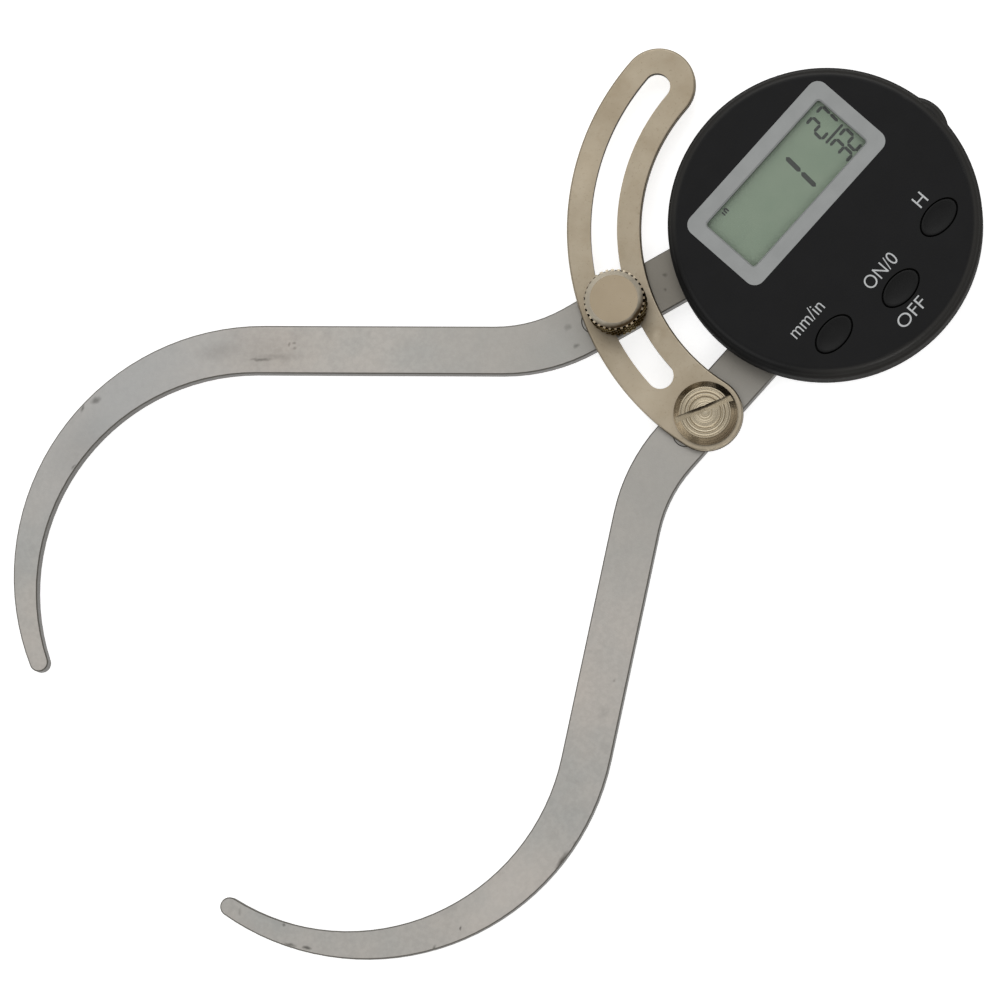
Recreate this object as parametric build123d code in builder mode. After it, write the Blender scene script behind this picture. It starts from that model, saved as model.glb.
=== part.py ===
"""Flat-legged digital outside caliper, lying on its back.

The origin is on the pivot axis, on the plane the legs lie on. +Z points out of
the display, +X is the display's reading direction and +Y is the display's up.
The fixed leg's tip is on the -X side, and the moving leg stands open from it.
Lengths are in millimetres, angles in degrees.
"""
import os
from math import asin, atan2, cos, degrees, hypot, radians, sin, sqrt

from build123d import *

os.makedirs("parts", exist_ok=True)

# Legs, in a leg's own frame: x runs from the pivot to the tip contact, y outwards
tip_reach = 142.5
tip_radius = 1.5
rest_opening = 46.6
leg_thickness = 3.0
root_gap = 1.1
root_width = 8.4
straight_width = 7.65
bend_reach = 48.6
bend_angle = 30.0
bend_radius = 21.7
outer_bow_radius = 39.4
inner_bow_radius = 34.35
edge_break = 0.2
leg_pin_reach = 39.15
leg_pin_radius = 2.0
leg_pin_chamfer = 0.15

# Pivot
hub_radius = 10.5
hub_clearance = 0.4
thrust_washer_thickness = 0.2
thrust_washer_radius = 8.5
pivot_radius = 3.0
pivot_head_radius = 4.5
pivot_head_height = 0.6
spanner_hole_radius = 0.55
spanner_hole_depth = 0.35
spanner_hole_spacing = 5.2
running_fit = 0.05
bush_wall = 1.0
disc_spring_height = 0.35
disc_spring_thickness = 0.2
disc_spring_radius = 4.9
clip_thickness = 0.5
clip_radius = 5.0
clip_groove_depth = 0.5

# Slotted wing and its two screws
wing_thickness = 1.5
wing_width = 11.8
slot_radius = 35.1
slot_width = 4.2
wing_screw_angle = 189.3
wing_tip_angle = 90.8
wing_rounding = 0.35
wing_hole_radius = 2.15
slot_shut_angle = 173.9
slot_open_angle = 91.4
screw_thread_radius = 2.0
thread_fit = 0.05
wing_screw_head_radius = 5.05
wing_screw_face_radius = 4.3
wing_screw_head_height = 1.7
wing_screw_chamfer = 1.1
drive_slot_width = 0.85
drive_slot_depth = 0.8
drive_slot_angle = -26.7
drive_slot_offset = 0.62
clamp_washer_thickness = 0.5
clamp_washer_radius = 4.4
knob_radius = 4.85
knob_face_radius = 3.8
knob_height = 7.3
knob_chamfer_height = 0.7
knob_foot_chamfer = 0.4
knurl_count = 40
knurl_depth = 0.28
screw_neck_radius = 1.75
screw_end_gap = 0.3

# Reading head
head_radius = 24.75
head_draft = 0.05
head_base = 3.2
head_face = 9.6
edge_rounding = 1.7
cover_thickness = 1.2
cover_chamfer = 0.5
cover_hole_radius = 5.8
wall_thickness = 1.45
front_thickness = 1.4
spigot_height = 0.5
spigot_width = 0.6
small_gap = 0.1
nub_radius = 5.6
nub_stand = 0.75
nub_side = -0.75
nub_top = 9.25
nub_rounding = 1.6
pad_start = 11.3
pad_length = 11.2
pad_width = 7.2

# Display
display_x = 0.6
display_inset = 16.2
bezel_length = 31.6
bezel_width = 15.4
bezel_thickness = 0.8
bezel_corner = 1.8
window_length = 26.5
window_width = 10.2
window_corner = 0.5
window_bevel = 0.25
lens_overlap = 0.95
lens_thickness = 0.5
lcd_overlap = 1.5
lcd_thickness = 1.1
connector_width = 1.3
connector_gap = 0.9
connector_inset = 0.5

# Circuit board and encoder
board_gap = 1.0
board_thickness = 0.6
board_height = 5.5
rotor_margin = 0.8
rotor_thickness = 0.5
rotor_gap = 0.3
rotor_hub_radius = 3.8
rotor_journal_radius = 2.0
rotor_pad_count = 12
rotor_pad_relief = 0.1
chip_radius = 2.6
chip_height = 0.7
chip_place = (-3.5, -3.5)

# Buttons
middle_button_inset = 8.75
side_button_inset = 6.85
side_button_angle = 43.4
button_length = 7.2
button_width = 4.3
button_gap = 0.12
button_flange = 0.55
button_flange_thickness = 0.5
button_travel = 0.4
button_edge = 0.2
plunger_radius = 1.2
dome_radius = 2.0
dome_height = 0.55

# Battery drawer
cell_radius = 6.25
cell_height = 2.0
cell_inset = 7.9
cell_fit = 0.1
drawer_wall = 0.5
drawer_floor = 0.45
drawer_gap = 0.05
drawer_reach = 4.6
fork_width = 4.4
fork_end = 1.0
rail_width = 0.6
rail_height = 1.5
rail_gap = 0.1
rail_length = 9.5
bay_margin = 0.15
contact_width = 1.6
contact_spacing = 2.2
contact_thickness = 0.15
contact_gap = 0.3
contact_tab = 1.5
contact_leaf = 6.0
contact_tip = 1.0

# Small screws
head_screw_reaches = (13.5, 19.5)
head_screw_radius = 0.98
head_screw_head_radius = 1.9
head_screw_boss_radius = 1.9
boss_height = 0.9
housing_screw_angles = (90.0, 174.0, 250.0, 290.0)
housing_screw_inset = 2.6
housing_screw_radius = 0.78
housing_screw_head_radius = 1.4
housing_screw_length = 4.2
housing_boss_radius = 1.7
board_screw_inset = 6.6
lower_board_screws = ((6.3, -12.2), (-6.3, -12.2))
board_screw_radius = 0.68
board_screw_head_radius = 1.2
board_screw_head_height = 0.4
board_screw_length = 1.8
board_post_radius = 1.4
screw_fit = 0.02
countersink_angle = 90.0
micro_slot_width = 0.4
micro_slot_depth = 0.25

# Worked out from the driving sizes
root_mid = root_gap + root_width / 2
tip_centre_reach = hypot(tip_reach, tip_radius)
tip_lead = atan2(tip_radius, tip_reach)
rest_angle = degrees(2 * (asin((rest_opening / 2 + tip_radius) / tip_centre_reach) - tip_lead))
lap_thickness = (leg_thickness - thrust_washer_thickness) / 2
upper_lap = lap_thickness + thrust_washer_thickness
wing_top = leg_thickness + wing_thickness
clamp_reach = sqrt(slot_radius**2 - root_mid**2)
wing_screw_lead = radians(wing_screw_angle - 180)
wing_screw_place = (slot_radius * cos(wing_screw_lead), slot_radius * sin(wing_screw_lead))
drive_slot_length = 2 * wing_screw_head_radius + drive_slot_width
drive_slot_lead = radians(drive_slot_angle)
drive_slot_place = (
    -wing_screw_place[0] - drive_slot_offset * sin(drive_slot_lead),
    -wing_screw_place[1] + drive_slot_offset * cos(drive_slot_lead),
)
cover_top = head_base + cover_thickness
wall_radius = head_radius - wall_thickness
ceiling = head_face - front_thickness
display_y = head_radius - display_inset
board_radius = wall_radius - board_gap
housing_screw_circle = wall_radius - housing_screw_inset
board_screw_reach = wall_radius - board_screw_inset
board_screw_places = ((0.0, board_screw_reach), (-board_screw_reach, 0.0), *lower_board_screws)
side_button_x = (head_radius - side_button_inset) * sin(radians(side_button_angle))
side_button_y = (side_button_inset - head_radius) * cos(radians(side_button_angle))
button_places = {
    "units_button": (-side_button_x, side_button_y),
    "zero_button": (0.0, middle_button_inset - head_radius),
    "hold_button": (side_button_x, side_button_y),
}
bezel_seat = head_face - bezel_thickness
lens_seat = bezel_seat - lens_thickness
lcd_seat = ceiling - lcd_thickness
board_top = board_height + board_thickness
spring_top = leg_thickness + disc_spring_height
clip_top = spring_top + clip_thickness
rotor_top = board_height - rotor_gap
rotor_base = rotor_top - rotor_thickness
journal_base = clip_top + small_gap
drawer_base = cover_top + drawer_gap
cell_base = drawer_base + drawer_floor
cell_x = head_radius - cell_inset
rotor_radius = cell_x - cell_radius - rotor_margin
drawer_top = cell_base + cell_height
drawer_half = cell_radius + cell_fit + drawer_wall
drawer_back = cell_x - drawer_reach
bay_half = drawer_half + rail_gap + rail_width + bay_margin
bay_edge = cell_x - cell_radius - 0.5
opening_top = drawer_top + small_gap
dome_top = board_top + dome_height
clamp_base = wing_top + clamp_washer_thickness
knob_top = clamp_base + knob_height

fixed_frame = Plane(origin=(0, 0, 0), x_dir=(-1, 0, 0), z_dir=(0, 0, 1))
moving_direction = (-cos(radians(rest_angle)), sin(radians(rest_angle)), 0)
moving_frame = Plane(origin=(0, 0, leg_thickness), x_dir=moving_direction, z_dir=(0, 0, -1))


def save(part, name):
    part.label = name
    export_step(part, f"parts/{name}.step")


def along_bend(run, rise):
    """A point beside the leg's straight part: run along it, rise outwards from its middle."""
    turn = radians(bend_angle)
    x = bend_reach + run * cos(turn) - rise * sin(turn)
    y = root_mid + run * sin(turn) + rise * cos(turn)
    return (x, y)


def arc_about(centre, start, end):
    """The short arc from start to end about a centre."""
    middle = Vector(*centre)
    start_way = (Vector(*start) - middle).normalized()
    end_way = (Vector(*end) - middle).normalized()
    reach = (Vector(*start) - middle).length
    ThreePointArc(start, middle + (start_way + end_way).normalized() * reach, end)


def bow(edge_offset, radius, nose_reach):
    """Centre of a bow arc that is tangent to a straight edge and to the tip's nose."""
    turn = radians(bend_angle)
    dx = tip_reach - bend_reach
    dy = tip_radius - root_mid
    nose_run = dx * cos(turn) + dy * sin(turn)
    nose_rise = dy * cos(turn) - dx * sin(turn)
    rise = edge_offset - radius
    run = nose_run - sqrt(nose_reach**2 - (nose_rise - rise) ** 2)
    return along_bend(run, rise), along_bend(run, edge_offset)


# The outline both legs share: root, bend, straight part, tapering bow and round nose
half_width = straight_width / 2
bend_turn = radians(bend_angle)
nose = Vector(tip_reach, tip_radius)
outer_centre, outer_start = bow(half_width, outer_bow_radius, outer_bow_radius - tip_radius)
inner_centre, inner_start = bow(-half_width, inner_bow_radius, inner_bow_radius + tip_radius)
outer_way = (nose - Vector(*outer_centre)).normalized()
inner_way = (Vector(*inner_centre) - nose).normalized()
nose_way = (inner_way - outer_way).rotate(Axis.Z, 90).normalized()
corner_run = (root_width / 2 - half_width * cos(bend_turn)) / sin(bend_turn)
with BuildSketch() as leg_outline:
    with BuildLine():
        FilletPolyline(
            (0, root_gap + root_width),
            along_bend(corner_run, half_width),
            outer_start,
            radius=bend_radius,
        )
        FilletPolyline(
            (0, root_gap),
            along_bend(-corner_run, -half_width),
            inner_start,
            radius=bend_radius + (root_width + straight_width) / 2,
        )
        arc_about(outer_centre, outer_start, nose + outer_way * tip_radius)
        arc_about(inner_centre, inner_start, nose + inner_way * tip_radius)
        ThreePointArc(
            nose + outer_way * tip_radius,
            nose + nose_way * tip_radius,
            nose + inner_way * tip_radius,
        )
        Line((0, root_gap), (0, root_gap + root_width))
    make_face()
    Circle(hub_radius)


def leg_blank(frame):
    """A leg cut from plate, with its sharp edges broken and its plug hole drilled."""
    with BuildPart() as blank:
        with BuildSketch(frame):
            add(leg_outline.sketch)
        extrude(amount=leg_thickness)
        chamfer(faces().filter_by(Axis.Z).edges(), edge_break)
        with BuildSketch(frame):
            with Locations((leg_pin_reach, root_mid)):
                Circle(leg_pin_radius)
        extrude(amount=leg_thickness, mode=Mode.SUBTRACT)
    return blank.part


def leg_pin(frame):
    """The round plug, flush with both faces of its leg."""
    with BuildPart() as pin:
        with BuildSketch(frame):
            with Locations((leg_pin_reach, root_mid)):
                Circle(leg_pin_radius)
        extrude(amount=leg_thickness)
        chamfer(faces().filter_by(Axis.Z).edges(), leg_pin_chamfer)
    return pin.part


def turned(profile):
    """A turned piece about the Z axis, from a closed profile of radius and height."""
    with BuildPart() as piece:
        with BuildSketch(Plane.XZ):
            with BuildLine():
                Polyline(*profile, close=True)
            make_face()
        revolve(axis=Axis.Z)
    return piece.part


def countersunk_screw(base, shank, head, length):
    """A countersunk screw driven upwards, its slotted head flush at the base height."""
    with BuildPart() as screw:
        add(
            turned(
                [
                    (0, base),
                    (head, base),
                    (shank, base + head - shank),
                    (shank, base + length),
                    (0, base + length),
                ]
            )
        )
        with BuildSketch(Plane.XY.offset(base)):
            Rectangle(2 * head, micro_slot_width)
        extrude(amount=micro_slot_depth, mode=Mode.SUBTRACT)
    return screw.part


# Fixed leg: its hub is the upper half of the lap joint
fixed_blank = leg_blank(fixed_frame)
with BuildPart() as fixed_leg:
    add(fixed_blank)
    with BuildSketch(Plane.XY):
        Circle(hub_radius + hub_clearance)
    extrude(amount=upper_lap, mode=Mode.SUBTRACT)
    with BuildSketch(Plane.XY.offset(upper_lap)):
        Circle(pivot_radius + running_fit + bush_wall)
    extrude(amount=lap_thickness, mode=Mode.SUBTRACT)
    with BuildSketch(fixed_frame):
        with Locations(wing_screw_place):
            Circle(screw_thread_radius + screw_fit)
    extrude(amount=leg_thickness, mode=Mode.SUBTRACT)
    for reach in head_screw_reaches:
        with Locations(Location((-reach, -root_mid, 0), (180, 0, 0))):
            CounterSinkHole(
                head_screw_radius + screw_fit,
                head_screw_head_radius,
                leg_thickness,
                countersink_angle,
            )
save(fixed_leg.part, "fixed_leg")

fixed_pin = leg_pin(fixed_frame)
save(fixed_pin, "fixed_leg_pin")

# Moving leg: the same blank turned over, its hub the lower half of the lap joint
moving_blank = leg_blank(moving_frame)
with BuildPart() as moving_leg:
    add(moving_blank)
    with BuildSketch(Plane.XY.offset(lap_thickness)):
        Circle(hub_radius + hub_clearance)
    extrude(amount=leg_thickness - lap_thickness, mode=Mode.SUBTRACT)
    with BuildSketch(Plane.XY):
        Circle(pivot_head_radius)
    extrude(amount=pivot_head_height, mode=Mode.SUBTRACT)
    with BuildSketch(Plane.XY):
        Circle(pivot_radius)
    extrude(amount=lap_thickness, mode=Mode.SUBTRACT)
    with BuildSketch(moving_frame):
        with Locations((clamp_reach, root_mid)):
            Circle(screw_thread_radius + thread_fit)
    extrude(amount=leg_thickness, mode=Mode.SUBTRACT)
save(moving_leg.part, "moving_leg")

moving_pin = leg_pin(moving_frame)
save(moving_pin, "moving_leg_pin")

# Pivot shaft: flush head with two spanner holes, clip groove and a journal for the rotor
with BuildPart() as pivot_shaft:
    add(
        turned(
            [
                (0, 0),
                (pivot_head_radius, 0),
                (pivot_head_radius, pivot_head_height),
                (pivot_radius, pivot_head_height),
                (pivot_radius, spring_top),
                (pivot_radius - clip_groove_depth, spring_top),
                (pivot_radius - clip_groove_depth, clip_top),
                (pivot_radius, clip_top),
                (pivot_radius, journal_base),
                (rotor_journal_radius, journal_base),
                (rotor_journal_radius, rotor_top),
                (0, rotor_top),
            ]
        )
    )
    with BuildSketch(Plane.XY):
        with GridLocations(spanner_hole_spacing, 0, 2, 1):
            Circle(spanner_hole_radius)
    extrude(amount=spanner_hole_depth, mode=Mode.SUBTRACT)
save(pivot_shaft.part, "pivot_shaft")

with BuildPart() as pivot_bush:
    with BuildSketch(Plane.XY.offset(upper_lap)):
        Circle(pivot_radius + running_fit + bush_wall)
        Circle(pivot_radius + running_fit, mode=Mode.SUBTRACT)
    extrude(amount=lap_thickness)
save(pivot_bush.part, "pivot_bush")

with BuildPart() as thrust_washer:
    with BuildSketch(Plane.XY.offset(lap_thickness)):
        Circle(thrust_washer_radius)
        Circle(pivot_radius + running_fit, mode=Mode.SUBTRACT)
    extrude(amount=thrust_washer_thickness)
save(thrust_washer.part, "thrust_washer")

# Disc spring: a shallow cone that keeps the lap joint stiff to turn
spring_bore = pivot_radius + running_fit
disc_spring = turned(
    [
        (spring_bore, spring_top - disc_spring_thickness),
        (disc_spring_radius, leg_thickness),
        (disc_spring_radius, leg_thickness + disc_spring_thickness),
        (spring_bore, spring_top),
    ]
)
save(disc_spring, "disc_spring")

# Retaining clip: an open ring with three lugs in the shaft's groove
with BuildPart() as retaining_clip:
    clip_bore = pivot_radius - clip_groove_depth + running_fit
    with BuildSketch(Plane.XY.offset(spring_top)):
        Circle(clip_radius)
        Circle(clip_bore, mode=Mode.SUBTRACT)
        with PolarLocations(pivot_radius, 2, start_angle=-45, angular_range=270):
            Circle(clip_groove_depth + small_gap, mode=Mode.SUBTRACT)
        with Locations((0, clip_radius / 2)):
            Rectangle(2 * clip_bore, clip_radius + small_gap, mode=Mode.SUBTRACT)
    extrude(amount=clip_thickness)
save(retaining_clip.part, "retaining_clip")

# Encoder rotor: a thin disc whose electrodes stand above its hub's web
with BuildPart() as encoder_rotor:
    with BuildSketch(Plane.XY.offset(rotor_base)):
        Circle(rotor_radius)
    extrude(amount=rotor_thickness)
    with BuildSketch(Plane.XY.offset(journal_base)):
        Circle(rotor_hub_radius)
    extrude(amount=rotor_base - journal_base)
    with BuildSketch(Plane.XY.offset(rotor_top)):
        with PolarLocations((rotor_radius + rotor_hub_radius) / 2, rotor_pad_count):
            Rectangle((rotor_radius - rotor_hub_radius) * 0.7, rotor_hub_radius / 3)
    extrude(amount=-rotor_pad_relief, mode=Mode.SUBTRACT)
    with BuildSketch(Plane.XY.offset(journal_base)):
        Circle(rotor_journal_radius)
    extrude(amount=rotor_top - journal_base, mode=Mode.SUBTRACT)
save(encoder_rotor.part, "encoder_rotor")

# Slotted wing: a band about the pivot axis, with the clamp slot along its middle
band_arc = CenterArc((0, 0), slot_radius, wing_tip_angle, wing_screw_angle - wing_tip_angle)
slot_arc = CenterArc((0, 0), slot_radius, slot_open_angle, slot_shut_angle - slot_open_angle)
with BuildPart() as slotted_wing:
    with BuildSketch(Plane.XY.offset(leg_thickness)):
        SlotArc(band_arc, wing_width)
    extrude(amount=wing_thickness)
    chamfer(faces().sort_by(Axis.Z)[0].edges(), edge_break)
    fillet(faces().sort_by(Axis.Z)[-1].edges(), wing_rounding)
    with BuildSketch(Plane.XY.offset(leg_thickness)):
        SlotArc(slot_arc, slot_width)
    extrude(amount=wing_thickness, mode=Mode.SUBTRACT)
    with BuildSketch(fixed_frame.offset(leg_thickness)):
        with Locations(wing_screw_place):
            Circle(wing_hole_radius)
    extrude(amount=wing_thickness, mode=Mode.SUBTRACT)
save(slotted_wing.part, "slotted_wing")

# Wing screw: wide slotted head with a broad chamfer, threaded into the fixed leg
wing_screw_top = wing_top + wing_screw_head_height
wing_screw_blank = turned(
    [
        (0, screw_end_gap),
        (screw_thread_radius, screw_end_gap),
        (screw_thread_radius, wing_top),
        (wing_screw_head_radius, wing_top),
        (wing_screw_head_radius, wing_screw_top - wing_screw_chamfer),
        (wing_screw_face_radius, wing_screw_top),
        (0, wing_screw_top),
    ]
)
with BuildPart() as wing_screw:
    with Locations((-wing_screw_place[0], -wing_screw_place[1])):
        add(wing_screw_blank)
    with BuildSketch(Plane.XY.offset(wing_screw_top)):
        with Locations(drive_slot_place):
            Rectangle(drive_slot_length, drive_slot_width, rotation=drive_slot_angle)
    extrude(amount=-drive_slot_depth, mode=Mode.SUBTRACT)
save(wing_screw.part, "wing_screw")

# Clamp washer, held on the thumb screw's neck, and the knurled thumb screw
clamp_foot = moving_frame.from_local_coords(Vector(clamp_reach, root_mid, leg_thickness))
with BuildPart() as clamp_washer:
    with BuildSketch(Plane.XY.offset(wing_top)):
        with Locations((clamp_foot.X, clamp_foot.Y)):
            Circle(clamp_washer_radius)
            Circle(screw_neck_radius + running_fit, mode=Mode.SUBTRACT)
    extrude(amount=clamp_washer_thickness)
save(clamp_washer.part, "clamp_washer")

thumb_screw_blank = turned(
    [
        (0, screw_end_gap),
        (screw_thread_radius, screw_end_gap),
        (screw_thread_radius, leg_thickness),
        (screw_neck_radius, leg_thickness),
        (screw_neck_radius, clamp_base),
        (knob_radius - knob_foot_chamfer, clamp_base),
        (knob_radius, clamp_base + knob_foot_chamfer),
        (knob_radius, knob_top - knob_chamfer_height),
        (knob_face_radius, knob_top),
        (0, knob_top),
    ]
)
with BuildPart() as thumb_screw:
    with Locations((clamp_foot.X, clamp_foot.Y)):
        add(thumb_screw_blank)
    with BuildSketch(Plane.XY.offset(clamp_base)):
        with Locations((clamp_foot.X, clamp_foot.Y)):
            with PolarLocations(knob_radius, knurl_count):
                Rectangle(sqrt(2) * knurl_depth, sqrt(2) * knurl_depth, rotation=45)
    extrude(amount=knob_height, mode=Mode.SUBTRACT)
save(thumb_screw.part, "thumb_screw")

# The reading head's outer form above its rear cover, with the nub on its rim
with BuildPart() as nub:
    with BuildSketch(Plane.XY.offset(cover_top)):
        with Locations((head_radius + nub_stand - nub_radius, nub_side)):
            Circle(nub_radius)
    extrude(amount=nub_top - cover_top)
    fillet(edges().group_by(Axis.Z)[-1], nub_rounding)

head_body = turned(
    [
        (0, cover_top),
        (head_radius, cover_top),
        (head_radius - head_draft, head_face),
        (0, head_face),
    ]
)
with BuildPart() as head_form:
    add(head_body)
    fillet(edges().group_by(Axis.Z)[-1], edge_rounding)
    add(nub.part)

housing_screw_places = [
    (housing_screw_circle * cos(radians(angle)), housing_screw_circle * sin(radians(angle)))
    for angle in housing_screw_angles
]
head_screw_places = [(-reach, -root_mid) for reach in head_screw_reaches]

# Front housing: moulded shell with screw bosses, board posts and all its openings
with BuildPart() as front_housing:
    add(head_form.part)
    with BuildSketch(Plane.XY.offset(cover_top)):
        Circle(wall_radius)
    extrude(amount=ceiling - cover_top, mode=Mode.SUBTRACT)
    with BuildSketch(Plane.XY.offset(cover_top)):
        with Locations(*housing_screw_places):
            Circle(housing_boss_radius)
    extrude(amount=ceiling - cover_top)
    with BuildSketch(Plane.XY.offset(board_top)):
        with Locations(*board_screw_places):
            Circle(board_post_radius)
    extrude(amount=ceiling - board_top)
    with BuildSketch(Plane.XY.offset(cover_top)):
        with Locations(*housing_screw_places):
            Circle(housing_screw_radius + screw_fit)
    extrude(amount=housing_screw_length - cover_thickness + small_gap, mode=Mode.SUBTRACT)
    with BuildSketch(Plane.XY.offset(board_top)):
        with Locations(*board_screw_places):
            Circle(board_screw_radius + screw_fit)
    extrude(amount=board_screw_length - board_thickness + small_gap, mode=Mode.SUBTRACT)
    with BuildSketch(Plane.XY.offset(ceiling)):
        with Locations((display_x, display_y)):
            Rectangle(
                window_length + 2 * (lens_overlap + small_gap),
                window_width + 2 * (lens_overlap + small_gap),
            )
    extrude(amount=front_thickness, mode=Mode.SUBTRACT)
    with BuildSketch(Plane.XY.offset(bezel_seat)):
        with Locations((display_x, display_y)):
            RectangleRounded(bezel_length + small_gap, bezel_width + small_gap, bezel_corner + small_gap / 2)
    extrude(amount=bezel_thickness, mode=Mode.SUBTRACT)
    with BuildSketch(Plane.XY.offset(ceiling)):
        with Locations(*button_places.values()):
            Ellipse(button_length / 2 + button_gap, button_width / 2 + button_gap)
    extrude(amount=front_thickness, mode=Mode.SUBTRACT)
    with BuildSketch(Plane.XY.offset(cover_top)):
        with Locations((head_radius, 0)):
            Rectangle(2 * (head_radius - cell_x), 2 * (drawer_half + small_gap))
    extrude(amount=opening_top - cover_top, mode=Mode.SUBTRACT)
save(front_housing.part, "front_housing")

# Rear cover: closes the shell, seats on the fixed leg and guides the drawer
with BuildPart() as rear_cover:
    with BuildSketch(Plane.XY.offset(head_base)):
        Circle(head_radius)
    extrude(amount=cover_thickness)
    chamfer(edges().group_by(Axis.Z)[0], cover_chamfer)
    with BuildSketch(Plane.XY.offset(leg_thickness)):
        with Locations((-pad_start - pad_length / 2, -root_mid)):
            RectangleRounded(pad_length, pad_width, pad_width / 4)
    extrude(amount=head_base - leg_thickness)
    with BuildSketch(Plane.XY.offset(cover_top)):
        Circle(wall_radius - small_gap)
        Circle(wall_radius - small_gap - spigot_width, mode=Mode.SUBTRACT)
        with Locations((head_radius, 0)):
            Rectangle(2 * (head_radius - cell_x), 2 * bay_half, mode=Mode.SUBTRACT)
    extrude(amount=spigot_height)
    with BuildSketch(Plane.XY.offset(cover_top)):
        with Locations(*head_screw_places):
            Circle(head_screw_boss_radius)
    extrude(amount=boss_height)
    with BuildSketch(Plane.XY.offset(cover_top)):
        rail_x = drawer_back + rail_length / 2
        rail_y = drawer_half + rail_gap + rail_width / 2
        with Locations((rail_x, rail_y), (rail_x, -rail_y)):
            Rectangle(rail_length, rail_width)
    extrude(amount=rail_height)
    with BuildSketch(Plane.XY.offset(head_base)):
        Circle(cover_hole_radius)
    extrude(amount=cover_thickness, mode=Mode.SUBTRACT)
    with BuildSketch(Plane.XY.offset(leg_thickness)):
        with Locations(*head_screw_places):
            Circle(head_screw_radius + screw_fit)
    extrude(amount=cover_top + boss_height - leg_thickness, mode=Mode.SUBTRACT)
    for x, y in housing_screw_places:
        with Locations(Location((x, y, head_base), (180, 0, 0))):
            CounterSinkHole(
                housing_screw_radius + screw_fit,
                housing_screw_head_radius + screw_fit,
                cover_thickness,
                countersink_angle,
            )
save(rear_cover.part, "rear_cover")

# The small screws, each kind turned once and set in its places
head_screw = countersunk_screw(
    0,
    head_screw_radius,
    head_screw_head_radius - screw_fit,
    cover_top + boss_height - small_gap,
)
with BuildPart() as head_screws:
    with Locations(*head_screw_places):
        add(head_screw)
save(head_screws.part, "head_screws")

housing_screw = countersunk_screw(
    head_base,
    housing_screw_radius,
    housing_screw_head_radius,
    housing_screw_length,
)
with BuildPart() as housing_screws:
    with Locations(*housing_screw_places):
        add(housing_screw)
save(housing_screws.part, "housing_screws")

board_screw_end = board_height + board_screw_length
board_screw = turned(
    [
        (0, board_height - board_screw_head_height),
        (board_screw_head_radius, board_height - board_screw_head_height),
        (board_screw_head_radius, board_height),
        (board_screw_radius, board_height),
        (board_screw_radius, board_screw_end),
        (0, board_screw_end),
    ]
)
with BuildPart() as board_screws:
    with Locations(*board_screw_places):
        add(board_screw)
save(board_screws.part, "board_screws")

# Display: grey bezel in its recess, clear lens under it, liquid crystal panel and its connectors
with BuildPart() as display_bezel:
    with BuildSketch(Plane.XY.offset(bezel_seat)):
        with Locations((display_x, display_y)):
            RectangleRounded(bezel_length, bezel_width, bezel_corner)
            RectangleRounded(window_length, window_width, window_corner, mode=Mode.SUBTRACT)
    extrude(amount=bezel_thickness)
    chamfer(faces().sort_by(Axis.Z)[-1].inner_wires()[0].edges(), window_bevel)
save(display_bezel.part, "display_bezel")

with BuildPart() as display_lens:
    with BuildSketch(Plane.XY.offset(lens_seat)):
        with Locations((display_x, display_y)):
            Rectangle(window_length + 2 * lens_overlap, window_width + 2 * lens_overlap)
    extrude(amount=lens_thickness)
save(display_lens.part, "display_lens")

lcd_length = window_length + 2 * lcd_overlap
lcd_width = window_width + 2 * lcd_overlap
with BuildPart() as lcd_panel:
    with BuildSketch(Plane.XY.offset(lcd_seat)):
        with Locations((display_x, display_y)):
            Rectangle(lcd_length, lcd_width)
    extrude(amount=lcd_thickness / 2)
    with BuildSketch(Plane.XY.offset(lcd_seat + lcd_thickness / 2)):
        with Locations((display_x, display_y)):
            Rectangle(lcd_length, lcd_width - connector_inset)
    extrude(amount=lcd_thickness / 2)
save(lcd_panel.part, "lcd_panel")

with BuildPart() as lcd_connectors:
    strip_offset = lcd_width / 2 - connector_inset - connector_width / 2
    strip_start = board_post_radius + connector_gap - board_screw_reach
    strip_end = bay_edge - contact_tab
    strip_x = (strip_start + strip_end) / 2
    with BuildSketch(Plane.XY.offset(board_top)):
        with Locations((strip_x, display_y + strip_offset), (strip_x, display_y - strip_offset)):
            Rectangle(strip_end - strip_start, connector_width)
    extrude(amount=lcd_seat - board_top)
save(lcd_connectors.part, "lcd_connectors")

# Circuit board: cut away round the battery bay and the housing's bosses
with BuildPart() as circuit_board:
    with BuildSketch(Plane.XY.offset(board_height)):
        Circle(board_radius)
        with Locations((head_radius, 0)):
            Rectangle(2 * (head_radius - bay_edge), 2 * bay_half, mode=Mode.SUBTRACT)
        with Locations(*housing_screw_places):
            Circle(housing_boss_radius + 2 * small_gap, mode=Mode.SUBTRACT)
        with Locations(*board_screw_places):
            Circle(board_screw_radius + screw_fit, mode=Mode.SUBTRACT)
    extrude(amount=board_thickness)
save(circuit_board.part, "circuit_board")

with BuildPart() as controller_chip:
    with BuildSketch(Plane.XY.offset(board_top)):
        with Locations(chip_place):
            Circle(chip_radius)
    extrude(amount=chip_height)
    fillet(edges().group_by(Axis.Z)[-1], chip_height * 0.7)
save(controller_chip.part, "controller_chip")

with BuildPart() as switch_domes:
    with BuildSketch(Plane.XY.offset(board_top)):
        with Locations(*button_places.values()):
            Circle(dome_radius)
    extrude(amount=dome_height)
    fillet(edges().group_by(Axis.Z)[-1], dome_height * 0.8)
save(switch_domes.part, "switch_domes")

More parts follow.
